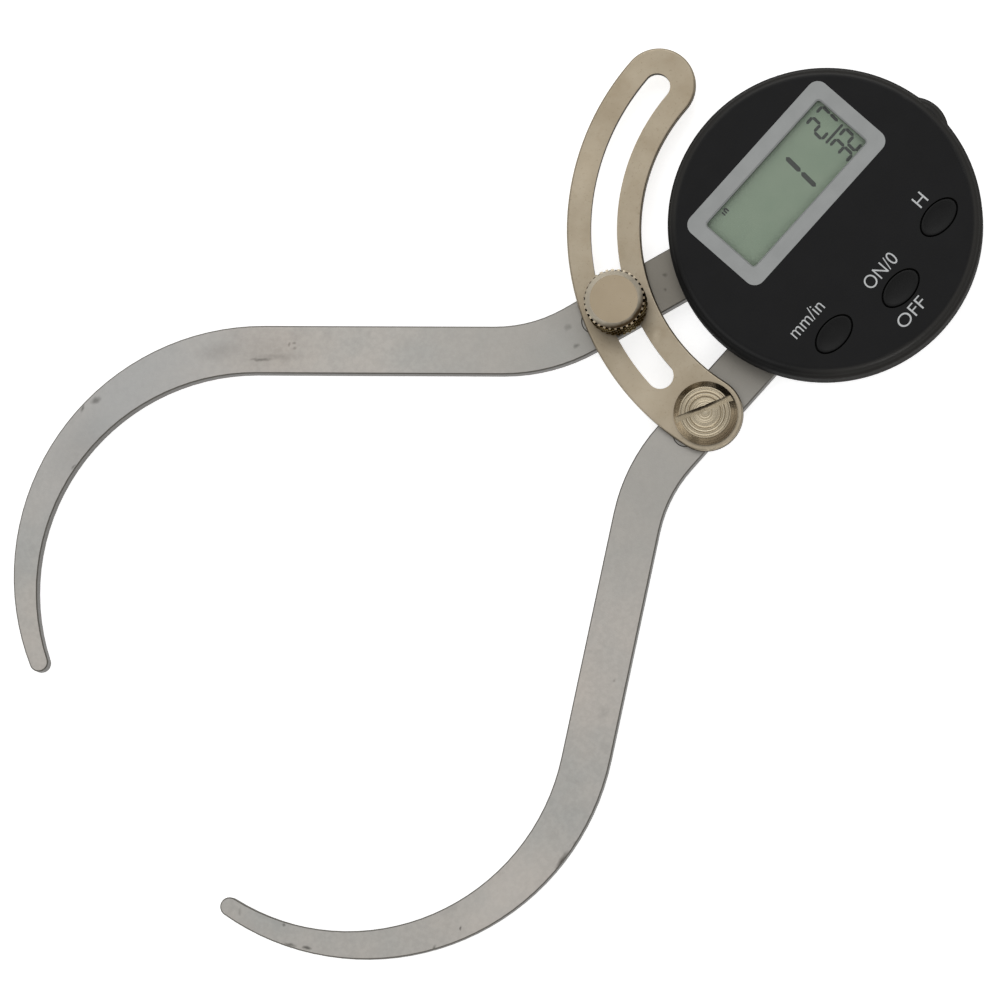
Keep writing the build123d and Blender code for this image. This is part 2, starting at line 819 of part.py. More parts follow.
# Buttons: oval keys flush with the face, each with a flange under the ceiling and a plunger
flange_foot = ceiling - button_flange_thickness
for button_name, button_place in button_places.items():
    with BuildPart() as key:
        with BuildSketch(Plane.XY.offset(ceiling)):
            with Locations(button_place):
                Ellipse(button_length / 2, button_width / 2)
        extrude(amount=front_thickness)
        fillet(edges().group_by(Axis.Z)[-1], button_edge)
        with BuildSketch(Plane.XY.offset(flange_foot)):
            with Locations(button_place):
                Ellipse(button_length / 2 + button_flange, button_width / 2 + button_flange)
        extrude(amount=button_flange_thickness)
        with BuildSketch(Plane.XY.offset(flange_foot)):
            with Locations(button_place):
                Circle(plunger_radius)
        extrude(amount=dome_top + button_travel + small_gap - flange_foot)
    save(key.part, button_name)

# Battery drawer: a stretch of the rim with a tray for the coin cell behind it
with BuildPart() as battery_drawer:
    add(head_form.part)
    with BuildSketch(Plane.XY.offset(drawer_base)):
        with Locations((head_radius, 0)):
            Rectangle(2 * (head_radius - cell_x), 2 * drawer_half)
        Circle(wall_radius, mode=Mode.SUBTRACT)
    extrude(amount=drawer_top - drawer_base, mode=Mode.INTERSECT)
    with BuildSketch(Plane.XY.offset(drawer_base)):
        with Locations(((drawer_back + wall_radius) / 2, 0)):
            Rectangle(wall_radius - drawer_back, 2 * drawer_half)
        Circle(wall_radius, mode=Mode.INTERSECT)
    extrude(amount=drawer_top - drawer_base)
    with BuildSketch(Plane.XY.offset(cell_base)):
        with Locations((cell_x, 0)):
            Circle(cell_radius + cell_fit)
    extrude(amount=cell_height, mode=Mode.SUBTRACT)
    with BuildSketch(Plane.XY.offset(drawer_base)):
        fork_length = drawer_reach + fork_end
        with Locations((drawer_back + fork_length / 2, 0)):
            Rectangle(fork_length, fork_width)
    extrude(amount=drawer_floor, mode=Mode.SUBTRACT)
save(battery_drawer.part, "battery_drawer")

with BuildPart() as coin_cell:
    with BuildSketch(Plane.XY.offset(cell_base)):
        with Locations((cell_x, 0)):
            Circle(cell_radius * 0.88)
    extrude(amount=cell_height / 10)
    with BuildSketch(Plane.XY.offset(cell_base + cell_height / 10)):
        with Locations((cell_x, 0)):
            Circle(cell_radius)
    extrude(amount=cell_height * 0.9)
    fillet(edges().group_by(Axis.Z)[-1], small_gap)
save(coin_cell.part, "coin_cell")

# Battery contacts: both hook over the board's edge, one presses the rim, one runs under the cell
with BuildPart() as battery_contacts:
    blade_x = cell_x - cell_radius - contact_gap - contact_thickness
    tab_x = bay_edge - contact_tab
    for side, foot in ((1, board_height), (-1, cover_top)):
        y = side * contact_spacing / 2
        with BuildSketch(Plane.XY.offset(board_top)):
            with Locations(((tab_x + blade_x + contact_thickness) / 2, y)):
                Rectangle(blade_x + contact_thickness - tab_x, contact_width)
        extrude(amount=contact_thickness)
        with BuildSketch(Plane.XY.offset(foot)):
            with Locations((blade_x + contact_thickness / 2, y)):
                Rectangle(contact_thickness, contact_width)
        extrude(amount=board_top - foot)
    with BuildSketch(Plane.XY.offset(cover_top)):
        with Locations((blade_x + contact_leaf / 2, -contact_spacing / 2)):
            Rectangle(contact_leaf, contact_width)
    extrude(amount=contact_thickness)
    with BuildSketch(Plane.XY.offset(cover_top + contact_thickness)):
        with Locations((blade_x + contact_leaf - contact_tip / 2, -contact_spacing / 2)):
            Rectangle(contact_tip, contact_width)
    extrude(amount=cell_base - cover_top - 2 * contact_thickness)
save(battery_contacts.part, "battery_contacts")
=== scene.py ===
# %% [markdown]
# The object is a digital outside caliper: two bowed steel legs that share one pivot, a slotted wing that
# ties them together, a knurled thumb screw that clamps the opening, and a round black head with a small
# display. The frame brings in the solids of the CAD model, so everything that follows is made round them
# and never moves them.

import math

import bpy
from mathutils import Matrix, Vector


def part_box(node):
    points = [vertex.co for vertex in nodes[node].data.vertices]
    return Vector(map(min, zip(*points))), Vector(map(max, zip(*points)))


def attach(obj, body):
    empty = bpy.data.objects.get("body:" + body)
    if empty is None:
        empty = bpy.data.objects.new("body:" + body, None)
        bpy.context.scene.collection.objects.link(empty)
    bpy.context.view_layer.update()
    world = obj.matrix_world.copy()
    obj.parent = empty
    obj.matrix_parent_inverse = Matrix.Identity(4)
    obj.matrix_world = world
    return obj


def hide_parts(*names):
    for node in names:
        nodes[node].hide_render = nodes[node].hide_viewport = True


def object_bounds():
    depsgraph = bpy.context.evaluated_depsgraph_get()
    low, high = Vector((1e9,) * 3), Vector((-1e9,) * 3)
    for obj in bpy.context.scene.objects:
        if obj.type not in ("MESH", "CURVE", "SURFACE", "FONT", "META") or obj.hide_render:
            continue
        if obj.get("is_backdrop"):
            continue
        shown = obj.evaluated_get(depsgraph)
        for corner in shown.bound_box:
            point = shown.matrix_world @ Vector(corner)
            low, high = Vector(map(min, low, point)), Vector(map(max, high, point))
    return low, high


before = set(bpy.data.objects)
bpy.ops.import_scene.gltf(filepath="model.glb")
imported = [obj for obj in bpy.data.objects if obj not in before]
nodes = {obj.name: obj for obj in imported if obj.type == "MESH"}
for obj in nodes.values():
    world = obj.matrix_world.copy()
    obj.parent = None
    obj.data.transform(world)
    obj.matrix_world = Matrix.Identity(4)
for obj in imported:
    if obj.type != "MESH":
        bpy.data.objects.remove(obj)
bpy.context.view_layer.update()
MM = 0.001


# %% [markdown]
# The photograph looks almost straight down, from a little on the side of the
# display's lower edge, with a long lens. Four things settle it: where the
# camera stands, what lies at the middle of the picture, which way is up in it
# and how wide it looks. The camera's own axes are worked out from those and
# written as a matrix, which is surer than turning it by three angles.

# %% Camera
camera_place = Vector((-79.131, -115.746, 846.787)) * MM
picture_middle = Vector((-66.293, 10.154, 0)) * MM
PICTURE_UP_TURN = math.radians(47.822)
PICTURE_WIDTH_PIXELS = 1000
LENS_LENGTH_PIXELS = 5400
HALF_VIEW = math.atan(PICTURE_WIDTH_PIXELS / 2 / LENS_LENGTH_PIXELS)
NEAREST_SEEN = 0.05
FARTHEST_SEEN = 20


def aimed(place, target, up_hint):
    """The matrix of something at place whose own -Z looks at target, with up_hint at its top."""
    forward = (target - place).normalized()
    right = forward.cross(up_hint).normalized()
    up = right.cross(forward)
    turn = Matrix((right, up, -forward)).transposed()
    return Matrix.Translation(place) @ turn.to_4x4()


picture_up = Vector((math.sin(PICTURE_UP_TURN), math.cos(PICTURE_UP_TURN), 0))
camera_data = bpy.data.cameras.new("picture_camera")
camera = bpy.data.objects.new("picture_camera", camera_data)
scene = bpy.context.scene
scene.collection.objects.link(camera)
camera.matrix_world = aimed(camera_place, picture_middle, picture_up)
camera_data.angle = 2 * HALF_VIEW
camera_data.clip_start = NEAREST_SEEN
camera_data.clip_end = FARTHEST_SEEN
scene.camera = camera
print("camera", round((camera_place - picture_middle).length, 3), "m from the middle")


# %% [markdown]
# Sky, paper and finishes are all networks of shader nodes. A node is added, its
# settings are chosen, and each of its sockets is given a value or wired to
# another node. Written out, that takes a line for every wire, so one helper
# does it: a socket that is given another socket is wired to it, and any other
# takes the value itself. The node used most is Map Range, which moves a value
# from one range into another, so it has a helper of its own.

# %% Helpers for shader nodes


def new_node(tree, kind, sockets, **settings):
    """A shader node whose sockets each get a value, or a wire from another socket."""
    made = tree.nodes.new("ShaderNode" + kind)
    for setting, value in settings.items():
        setattr(made, setting, value)
    for name, value in sockets.items():
        if isinstance(value, bpy.types.NodeSocket):
            tree.links.new(value, made.inputs[name])
        else:
            made.inputs[name].default_value = value
    return made


def levels(tree, value, low=0, high=1, start=0, end=1):
    """A value that runs from start to end, spread between low and high and held there."""
    sockets = {"Value": value, "From Min": start, "From Max": end, "To Min": low, "To Max": high}
    return new_node(tree, "MapRange", sockets).outputs["Result"]


print("helpers: new_node, levels")


# %% [markdown]
# The picture has a plain white ground and no hard shadow, so its light is wide
# and soft. Part of it comes from the world, as a sky that is bright overhead
# and darker towards the horizon, as in a room. An even sky would be simpler,
# but it leaves the bevels and knurls of bright metal nothing dark to mirror,
# and they would look flat. The height of a direction, its Z, sets the strength.

# %% Sky
scene.view_settings.view_transform = "Standard"
SKY_HORIZON = 0.22
SKY_OVERHEAD = 0.78
HORIZON_HEIGHT = 0.05
OVERHEAD_HEIGHT = 0.85
world = bpy.data.worlds.new("soft_sky")
scene.world = world
world.use_nodes = True
tree = world.node_tree
direction = new_node(tree, "TexCoord", {}).outputs["Generated"]
height = new_node(tree, "SeparateXYZ", {"Vector": direction}).outputs["Z"]
strength = levels(tree, height, SKY_HORIZON, SKY_OVERHEAD, start=HORIZON_HEIGHT, end=OVERHEAD_HEIGHT)
sky = tree.nodes["Background"]
sky.inputs["Color"].default_value = (1, 1, 1, 1)
tree.links.new(strength, sky.inputs["Strength"])
print("sky from", SKY_HORIZON, "to", SKY_OVERHEAD)


# %% [markdown]
# Two large lamps do the rest, the stronger one beyond the top of the picture.
# Lamps and sky come to about 1 on a surface that faces up, so that a colour
# renders about as it is written. A small third lamp stands low beyond the lower
# right corner. It hardly lights the flat faces, but rims, rings and knurls that
# lean towards it catch a glint. Each is placed from the middle of the picture,
# so many metres up and to the left in it and above the floor.

# %% Lamps
picture_left = Vector((-picture_up.y, picture_up.x, 0))
LAMP_UP_HINT = Vector((0, 0.1, 1))
# Columns: up, left and above the floor in metres, size in metres, power in watts
LAMPS = {
    "lamp_over_top": (1.3, 0.1, 1.8, 1.6, 11.0),
    "lamp_at_side": (-0.8, 1.0, 1.8, 1.2, 3.2),
    "lamp_low_corner": (-0.85, -0.55, 1.0, 0.4, 1.6),
}
for lamp_name, (up, left, height, size, power) in LAMPS.items():
    lamp_data = bpy.data.lights.new(lamp_name, "AREA")
    lamp_data.size = size
    lamp_data.energy = power
    lamp = bpy.data.objects.new(lamp_name, lamp_data)
    scene.collection.objects.link(lamp)
    offset = up * picture_up + left * picture_left + Vector((0, 0, height))
    lamp.matrix_world = aimed(picture_middle + offset, picture_middle, LAMP_UP_HINT)
    print(lamp_name, round(offset.length, 2), "m away")


# %% [markdown]
# The floor is pale paper. Paper alone would come out light grey under this
# light, and a stronger light would burn out the metal. So what the camera and
# shiny or clear things see of the floor gets a little light of its own, through
# a glow that asks the Light Path node what kind of ray has arrived. The paper
# ends up white and still takes a soft shadow.

# %% Floor
FLOOR_SIZE = 8
FLOOR_DROP = 0.2 * MM
PAPER_WHITE = 0.8
PAPER_LIFT = 0.66
bpy.ops.object.select_all(action="DESELECT")
bpy.ops.mesh.primitive_plane_add(size=FLOOR_SIZE, location=(0, 0, -FLOOR_DROP))
floor = bpy.context.object
floor.name = "floor"
paper = bpy.data.materials.new("white_paper")
paper.use_nodes = True
tree = paper.node_tree
tree.nodes.clear()
rays = new_node(tree, "LightPath", {}).outputs
seen = rays["Is Camera Ray"]
for kind_of_ray in ("Is Glossy Ray", "Is Transmission Ray"):
    seen = new_node(tree, "Math", {0: seen, 1: rays[kind_of_ray]}, operation="MAXIMUM").outputs[0]
lift = new_node(tree, "Math", {0: seen, 1: PAPER_LIFT}, operation="MULTIPLY").outputs[0]
glow = new_node(tree, "Emission", {"Strength": lift}).outputs[0]
diffuse = new_node(tree, "BsdfDiffuse", {"Color": (PAPER_WHITE, PAPER_WHITE, PAPER_WHITE, 1)})
both = new_node(tree, "AddShader", {0: diffuse.outputs[0], 1: glow}).outputs[0]
new_node(tree, "OutputMaterial", {"Surface": both})
floor.data.materials.append(paper)
floor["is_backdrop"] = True
print("floor", FLOOR_SIZE, "m wide, paper nodes", len(tree.nodes))


# %% [markdown]
# A finish is more than one colour. Every material here starts from one
# Principled shader, and its colours are written as they look on a screen, from
# 0 to 255. A shader reads linear light instead, so a helper turns the one into
# the other. A second helper writes an even grey, for shares and roughness.

# %% Helpers for a shader and its colours


def linear(colour):
    """A colour as on a screen, 0 to 255, turned into the linear colour that a shader reads."""
    parts = [v / 255 for v in colour]
    return [v / 12.92 if v <= 0.04045 else ((v + 0.055) / 1.055) ** 2.4 for v in parts] + [1]


def grey(level):
    """An even grey, or a plain number where a colour is asked for."""
    return (level, level, level, 1)


def new_finish(name, metallic, roughness):
    """A material with one shader; returns the material, its tree and that shader."""
    material = bpy.data.materials.new(name)
    material.use_nodes = True
    shader = material.node_tree.nodes["Principled BSDF"]
    shader.inputs["Metallic"].default_value = metallic
    shader.inputs["Roughness"].default_value = roughness
    return material, material.node_tree, shader


print("a middle grey of 128 is", round(linear((128, 128, 128))[0], 3), "in linear light")


# %% [markdown]
# Patterns come from noises that are read at the object's own coordinates. These
# are in metres and ride with the piece, so a stain stays where it is when a leg
# swings. One helper makes the noise, one turns a value into colours, one mixes
# two colours, and one turns a fine noise into bumps. An image texture could
# hold the same, but it has to be painted and wrapped round each piece first.

# %% Helpers for patterns
NOISE_ROUGHNESS = 0.55


def object_place(tree):
    """The socket that gives the object's own coordinates."""
    return new_node(tree, "TexCoord", {}).outputs["Object"]


def noise(tree, per_metre, detail=4):
    """The value of a noise with so many waves to the metre."""
    sockets = {"Vector": object_place(tree), "Scale": per_metre, "Detail": detail}
    sockets["Roughness"] = NOISE_ROUGHNESS
    return new_node(tree, "TexNoise", sockets).outputs["Fac"]


def ramp(tree, value, stops):
    """A colour for each level of a value; stops are (level, colour) from low to high."""
    made = new_node(tree, "ValToRGB", {"Fac": value})
    ends = made.color_ramp.elements
    for end, (level, colour) in ((ends[0], stops[0]), (ends[1], stops[-1])):
        end.position = level
        end.color = colour
    for level, colour in stops[1:-1]:
        ends.new(level).color = colour
    return made.outputs["Color"]


def mixed(tree, share, first, second, blend="MIX"):
    """Two colours mixed, from the first at a share of 0 to the second at 1."""
    sockets = {0: share, 6: first, 7: second}
    return new_node(tree, "Mix", sockets, data_type="RGBA", blend_type=blend).outputs[2]


def bumps(tree, shader, value, depth):
    """Lets a value raise the surface by up to depth metres."""
    bump = new_node(tree, "Bump", {"Height": value, "Distance": depth, "Strength": 1})
    tree.links.new(bump.outputs["Normal"], shader.inputs["Normal"])


print("helpers: object_place, noise, ramp, mixed, bumps")


# %% [markdown]
# Two more things change a finish from place to place. Cut edges and walls
# differ from flat faces, so one helper tells how steeply the surface stands,
# from the Z of its normal. And a handled tool has marks of its own, so another
# tells whether a place lies in an oval spot, with a Mapping node that turns the
# oval into a circle of radius 1. A little noise can make the spot's rim ragged.

# %% Helpers for steep and marked places
WOBBLE_WAVES = 900


def slope(tree, low, high):
    """0 where a surface stands up, 1 where it lies flat, changing between two levels."""
    normal = new_node(tree, "TexCoord", {}).outputs["Normal"]
    upward = new_node(tree, "SeparateXYZ", {"Vector": normal}).outputs["Z"]
    size = new_node(tree, "Math", {0: upward}, operation="ABSOLUTE").outputs[0]
    return levels(tree, size, start=low, end=high)


def near(tree, middle, reach, soft, turn=0, wobble=0):
    """1 in an oval spot on the XY plane, 0 outside; middle, reach and wobble are in mm."""
    place = object_place(tree)
    if wobble:
        waves = new_node(tree, "TexNoise", {"Vector": place, "Scale": WOBBLE_WAVES}).outputs["Color"]
        shift = {0: waves, 1: (wobble * MM,) * 3, 2: place}
        place = new_node(tree, "VectorMath", shift, operation="MULTIPLY_ADD").outputs["Vector"]
    oval = {
        "Vector": place,
        "Location": ((middle[0] + wobble / 2) * MM, (middle[1] + wobble / 2) * MM, 0),
        "Rotation": (0, 0, math.radians(turn)),
        "Scale": (reach[0] * MM, reach[1] * MM, 1),
    }
    circle = new_node(tree, "Mapping", oval, vector_type="TEXTURE").outputs["Vector"]
    length = new_node(tree, "VectorMath", {0: circle}, operation="LENGTH").outputs["Value"]
    return levels(tree, length, start=1, end=soft)


def spotted(tree, colour, spots, soft, wobble=0):
    """A colour with spots on it, each (middle, reach, turn, strength, colour of the spot)."""
    for middle, reach, turn, strength, tone in spots:
        spot = near(tree, middle, reach, soft, turn, wobble)
        colour = mixed(tree, levels(tree, spot, high=strength), colour, linear(tone))
    return colour


print("helpers: slope, near, spotted")


# %% [markdown]
# The legs are flat steel bar, bent to shape and satin ground, and then handled:
# a soft grey sheen with cloudy patches, as steel looks that hands have dulled.
# A broad noise makes the clouds, a closer one a fog of smudges, and a very fine one the ground surface.
# Both legs are painted darker near the pivot, and darker still where the head hangs over them, as a
# painted shade and reflection of the dark head. Two large soft spots do this.

# %% Ground steel of the legs
STEEL_DARK = (167, 166, 162)
STEEL_LIGHT = (181, 175, 168)
STEEL_SMUDGE = (132, 130, 125)
STEEL_SHADE_BY_PIVOT = (154, 152, 147)
STEEL_SHADE_UNDER_HEAD = (122, 118, 110)
leg_steel, tree, shader = new_finish("leg_steel", metallic=1, roughness=0.42)
cloud_levels = [(0.34, linear(STEEL_DARK)), (0.68, linear(STEEL_LIGHT))]
clouds = ramp(tree, noise(tree, per_metre=60), cloud_levels)
fog = ramp(tree, noise(tree, per_metre=260, detail=6), [(0.58, grey(0)), (0.8, grey(0.3))])
colour = mixed(tree, fog, clouds, linear(STEEL_SMUDGE))
ground = ramp(tree, noise(tree, per_metre=1500, detail=3), [(0.4, grey(0.93)), (0.62, grey(1))])
colour = mixed(tree, 1, colour, ground, blend="MULTIPLY")
# Painted shade: two soft spots darken the steel near the pivot and under the head, in place of the dark
# head that it mirrors.
painted_shade_by_pivot = levels(tree, near(tree, (0, 0), (72, 72), soft=0.7), high=0.7)
colour = mixed(tree, painted_shade_by_pivot, colour, linear(STEEL_SHADE_BY_PIVOT))
painted_shade_under_head = near(tree, (3, 10), (46, 46), soft=0.62)
colour = mixed(tree, painted_shade_under_head, colour, linear(STEEL_SHADE_UNDER_HEAD))
print("nodes in the ground steel", len(tree.nodes))


# %% [markdown]
# The marks that a handled tool collects are placed one by one, as soft ovals
# with a ragged rim: a scratch, some pits and the nicks on the rims. Two wide
# tones go under them, a cool one in the bow of one leg and a pale one in the
# bow of the other. A noise could scatter marks at random, but then none would
# sit where this tool has been knocked and held.

# %% Tones and marks on the legs
# Columns: middle and reach in mm, turn in degrees, strength from 0 to 1, colour
LEG_TONES = (
    ((-95.0, 66.0), (38.0, 18.0), 0, 0.6, (163, 164, 164)),
    ((-113.0, -33.0), (16.0, 7.0), 10, 0.25, (205, 198, 190)),
)
TONE_SOFT = 0.1
MARK_DARK = (62, 60, 55)
MARK_SOFT = 0.2
RAGGED = 0.7
# The same columns, but all marks have one colour
LEG_MARKS = (
    ((-97.5, 69.0), (1.1, 0.6), -20, 0.55),
    ((-99.8, 69.7), (1.0, 0.35), 25, 0.6),
    ((-75.1, 53.5), (2.2, 0.36), -48, 0.5),
    ((-73.0, 51.8), (5.0, 0.6), -48, 0.16),
    ((-70.2, 51.6), (0.45, 0.3), 20, 0.4),
    ((-69.6, 51.2), (0.35, 0.25), -30, 0.4),
    ((-70.1, 50.5), (0.5, 0.3), -30, 0.35),
    ((-78.8, 59.6), (4.5, 1.8), -40, 0.14),
    ((-107.7, 64.3), (0.6, 0.3), 0, 0.45),
    ((-38.7, 20.1), (0.8, 0.6), 0, 0.3),
    ((-40.0, 17.1), (0.6, 0.5), 0, 0.5),
    ((-22.4, 14.1), (0.4, 0.55), 20, 0.55),
    ((-24.2, 12.5), (0.35, 0.4), 0, 0.5),
    ((-102.1, -36.0), (2.4, 0.8), 10, 0.85),
    ((-98.6, -35.7), (0.9, 0.5), 10, 0.75),
    ((-105.8, -37.0), (1.6, 0.6), 5, 0.7),
    ((-120.5, -31.0), (0.5, 0.25), 40, 0.75),
    ((-139.0, -15.0), (0.9, 0.4), 120, 0.75),
    ((-140.6, -12.7), (1.3, 0.4), 120, 0.6),
    ((-138.9, -9.8), (0.4, 0.3), 0, 0.6),
    ((-125.6, -29.9), (0.6, 0.3), 20, 0.55),
    ((-142.0, -3.3), (0.9, 0.25), 35, 0.25),
    ((-75.5, -22.9), (0.4, 0.3), 0, 0.3),
    ((-73.5, 54.0), (10.0, 5.5), -48, 0.14),
    ((-104.5, 65.5), (8.0, 5.0), 10, 0.1),
)
colour = spotted(tree, colour, LEG_TONES, TONE_SOFT)
colour = spotted(tree, colour, [(*mark, MARK_DARK) for mark in LEG_MARKS], MARK_SOFT, RAGGED)
print("tones", len(LEG_TONES), "marks", len(LEG_MARKS))


# %% [markdown]
# The cut edges are rougher than the ground faces. Edges and walls are also painted darker, the walls
# darkest, as a painted shade for the dark surroundings they mirror, so the last colours ask how steeply
# the surface stands. A grain that is far finer than the clouds sets roughness and bump together: where
# the grinding left a scratch, the steel is both lower and duller. One material does for both legs and
# their plugs, since a maker would grind them in one go.

# %% Edges and grain of the legs
WALL_SHADE_DARK = (74, 70, 64)
WALL_SHADE_LIGHT = (112, 109, 103)
# Painted shade: steep edges and walls get darker colours than the ground faces.
wall_shade = mixed(tree, slope(tree, low=0.35, high=0.6), linear(WALL_SHADE_DARK), linear(WALL_SHADE_LIGHT))
colour = mixed(tree, slope(tree, low=0.8, high=0.98), wall_shade, colour)
tree.links.new(colour, shader.inputs["Base Color"])
grain = noise(tree, per_metre=5200, detail=2)
tree.links.new(levels(tree, grain, low=0.36, high=0.5), shader.inputs["Roughness"])
bumps(tree, shader, grain, depth=0.012 * MM)


def dress(material, *names):
    """Gives CAD nodes or new pieces this material alone."""
    for name in names:
        target = nodes[name] if name in nodes else bpy.data.objects[name]
        target.data.materials.clear()
        target.data.materials.append(material)


dress(leg_steel, "fixed_leg", "moving_leg", "fixed_leg_pin", "moving_leg_pin")
print("nodes in the finished steel", len(tree.nodes))


# %% [markdown]
# The wing is a thin stamped plate with a nickel coat that has gone warm and
# patchy with age. Brownish clouds lie over a light yellow grey, finer specks
# lie over those, and the coat is a little smoother than the ground steel. It
# is built up like the steel, from broad to fine, because that is also how the
# coat aged: as a whole first, and then in spots.

# %% Nickel coat of the wing
NICKEL_DARK = (153, 141, 121)
NICKEL_LIGHT = (166, 155, 136)
NICKEL_STAIN = (142, 126, 102)
NICKEL_SPECK = (120, 106, 84)
wing_nickel, tree, shader = new_finish("wing_nickel", metallic=1, roughness=0.36)
cloud_levels = [(0.34, linear(NICKEL_DARK)), (0.64, linear(NICKEL_LIGHT))]
warm = ramp(tree, noise(tree, per_metre=130, detail=5), cloud_levels)
stain = ramp(tree, noise(tree, per_metre=420, detail=5), [(0.55, grey(0)), (0.75, grey(0.28))])
colour = mixed(tree, stain, warm, linear(NICKEL_STAIN))
specks = ramp(tree, noise(tree, per_metre=2600, detail=2), [(0.62, grey(0)), (0.76, grey(0.4))])
colour = mixed(tree, specks, colour, linear(NICKEL_SPECK))
print("nodes in the nickel coat", len(tree.nodes))


# %% [markdown]
# A few patches are worn pale or gone dull, and are placed one by one. The stamped walls are rough and
# painted dark brown as a painted shade, while the rounded rim above them keeps the colour of the face,
# so the change from one to the other lies low on the slope. The washer under the thumb screw has the
# same coat.

# %% Patches and walls of the wing
PALE_NICKEL = (196, 184, 164)
DULL_NICKEL = (128, 116, 96)
NICKEL_WALL_SHADE = (62, 52, 38)
NICKEL_WALL_ROUGHNESS = 0.68
# Columns: middle and reach in mm, turn in degrees, strength from 0 to 1, colour
WING_PATCHES = (
    ((-39.5, 3.0), (9.0, 8.0), 0, 0.32, PALE_NICKEL),
    ((-18.5, 34.5), (6.0, 3.5), 30, 0.3, PALE_NICKEL),
    ((4.0, 36.5), (8.0, 4.0), -5, 0.25, DULL_NICKEL),
    ((-30.6, 8.4), (1.6, 0.8), 40, 0.35, PALE_NICKEL),
    ((-32.2, 11.0), (1.1, 0.6), 10, 0.3, PALE_NICKEL),
    ((-33.6, 4.6), (2.2, 0.5), 55, 0.3, DULL_NICKEL),
    ((-42.3, 4.0), (2.6, 0.6), 80, 0.25, DULL_NICKEL),
)
colour = spotted(tree, colour, WING_PATCHES, TONE_SOFT, RAGGED)
# Painted shade: the steep walls get a dark brown in place of what they would mirror.
flat = slope(tree, low=0.15, high=0.4)
colour = mixed(tree, flat, linear(NICKEL_WALL_SHADE), colour)
tree.links.new(colour, shader.inputs["Base Color"])
grain = noise(tree, per_metre=3600, detail=3)
rough = mixed(tree, flat, grey(NICKEL_WALL_ROUGHNESS), levels(tree, grain, low=0.28, high=0.42))
tree.links.new(rough, shader.inputs["Roughness"])
bumps(tree, shader, grain, depth=0.008 * MM)
dress(wing_nickel, "slotted_wing", "clamp_washer")
print("patches on the wing", len(WING_PATCHES), "nodes", len(tree.nodes))


# %% [markdown]
# Plastics and small parts need less: two close colours in a soft mottle, with a
# fine grain that moves roughness and bump together. One helper makes that whole
# finish, and a piece that shows more gets its extra steps afterwards. One such
# step is common, a colour of its own for rims and walls. The second helper
# mixes it in between the finish's colour and its shader.

# %% Helpers for plain finishes
MOTTLE_LOW = 0.35
MOTTLE_HIGH = 0.65
GRAIN_FINENESS = 12
ROUGHNESS_SPREAD = 0.06
USUAL_GLOSS = 0.5


def plain_finish(name, light, dark, metallic, roughness, per_metre, depth, gloss=USUAL_GLOSS):
    """Two close colours in a soft mottle, with a fine grain; depth is in mm."""
    material, tree, shader = new_finish(name, metallic, roughness)
    shader.inputs["Specular IOR Level"].default_value = gloss
    mottle = [(MOTTLE_LOW, linear(dark)), (MOTTLE_HIGH, linear(light))]
    tree.links.new(ramp(tree, noise(tree, per_metre), mottle), shader.inputs["Base Color"])
    grain = noise(tree, per_metre * GRAIN_FINENESS, detail=2)
    rough = levels(tree, grain, roughness - ROUGHNESS_SPREAD, roughness + ROUGHNESS_SPREAD)
    tree.links.new(rough, shader.inputs["Roughness"])
    bumps(tree, shader, grain, depth * MM)
    return material, tree, shader


def colour_edges(tree, shader, share, colour):
    """Gives a finish another colour where a share is 0, and leaves its own where it is 1."""
    own = shader.inputs["Base Color"].links[0].from_socket
    tree.links.new(mixed(tree, share, colour, own), shader.inputs["Base Color"])


print("helpers: plain_finish, colour_edges")


# %% [markdown]
# The head is moulded in black plastic with a fine spark texture, so it looks dark grey and nearly dull.
# Hands have rubbed the texture smooth on the rounded rim, so a soft line of light runs along it, while
# the side wall below stays rough. Rim and wall are also painted a little grey as a painted sheen, except
# on the side towards the legs, which stays black. The slope of the surface tells face, rim and wall
# apart, so no line has to be drawn between them.

# %% Black plastic of the head
WALL_ROUGHNESS = 0.85
RIM_ROUGHNESS = 0.26
FACE_ROUGHNESS = 0.46
WALL_SHEEN = (31, 29, 26)
RIM_SHEEN = (43, 42, 40)
NO_SHEEN_BLACK = (19, 19, 19)
BLACK_GLOSS = 0.16
housing_black, tree, shader = plain_finish(
    "housing_black",
    light=(13, 13, 14),
    dark=(10, 10, 11),
    metallic=0,
    roughness=FACE_ROUGHNESS,
    per_metre=260,
    depth=0.014,
    gloss=BLACK_GLOSS,
)
shine = mixed(tree, slope(tree, low=0.55, high=0.8), grey(WALL_ROUGHNESS), grey(RIM_ROUGHNESS))
shine = mixed(tree, slope(tree, low=0.96, high=0.995), shine, grey(FACE_ROUGHNESS))
tree.links.new(shine, shader.inputs["Roughness"])
# Painted sheen: rim and wall are lighter than the face, and black again on the side towards the legs.
edge_sheen = mixed(tree, slope(tree, low=0.3, high=0.75), linear(WALL_SHEEN), linear(RIM_SHEEN))
no_sheen_side = near(tree, (-24.4, 1.2), (21, 21), soft=0.6)
edge_sheen = mixed(tree, no_sheen_side, edge_sheen, linear(NO_SHEEN_BLACK))
colour_edges(tree, shader, slope(tree, low=0.95, high=0.998), edge_sheen)
dress(housing_black, "front_housing", "rear_cover", "battery_drawer")
print("nodes in the black plastic", len(tree.nodes))


# %% [markdown]
# The buttons are a softer and slightly darker plastic, with a finer texture. A
# plain finish does for them. Like the head they get less gloss than a polished
# plastic has, because the texture spreads what it mirrors.

# %% Black plastic of the buttons
button_black = plain_finish(
    "button_black",
    light=(12, 12, 12),
    dark=(9, 9, 9),
    metallic=0,
    roughness=0.4,
    per_metre=400,
    depth=0.008,
    gloss=BLACK_GLOSS,
)[0]
dress(button_black, "units_button", "zero_button", "hold_button")
print("gloss of the black plastics", BLACK_GLOSS, "instead of", USUAL_GLOSS)
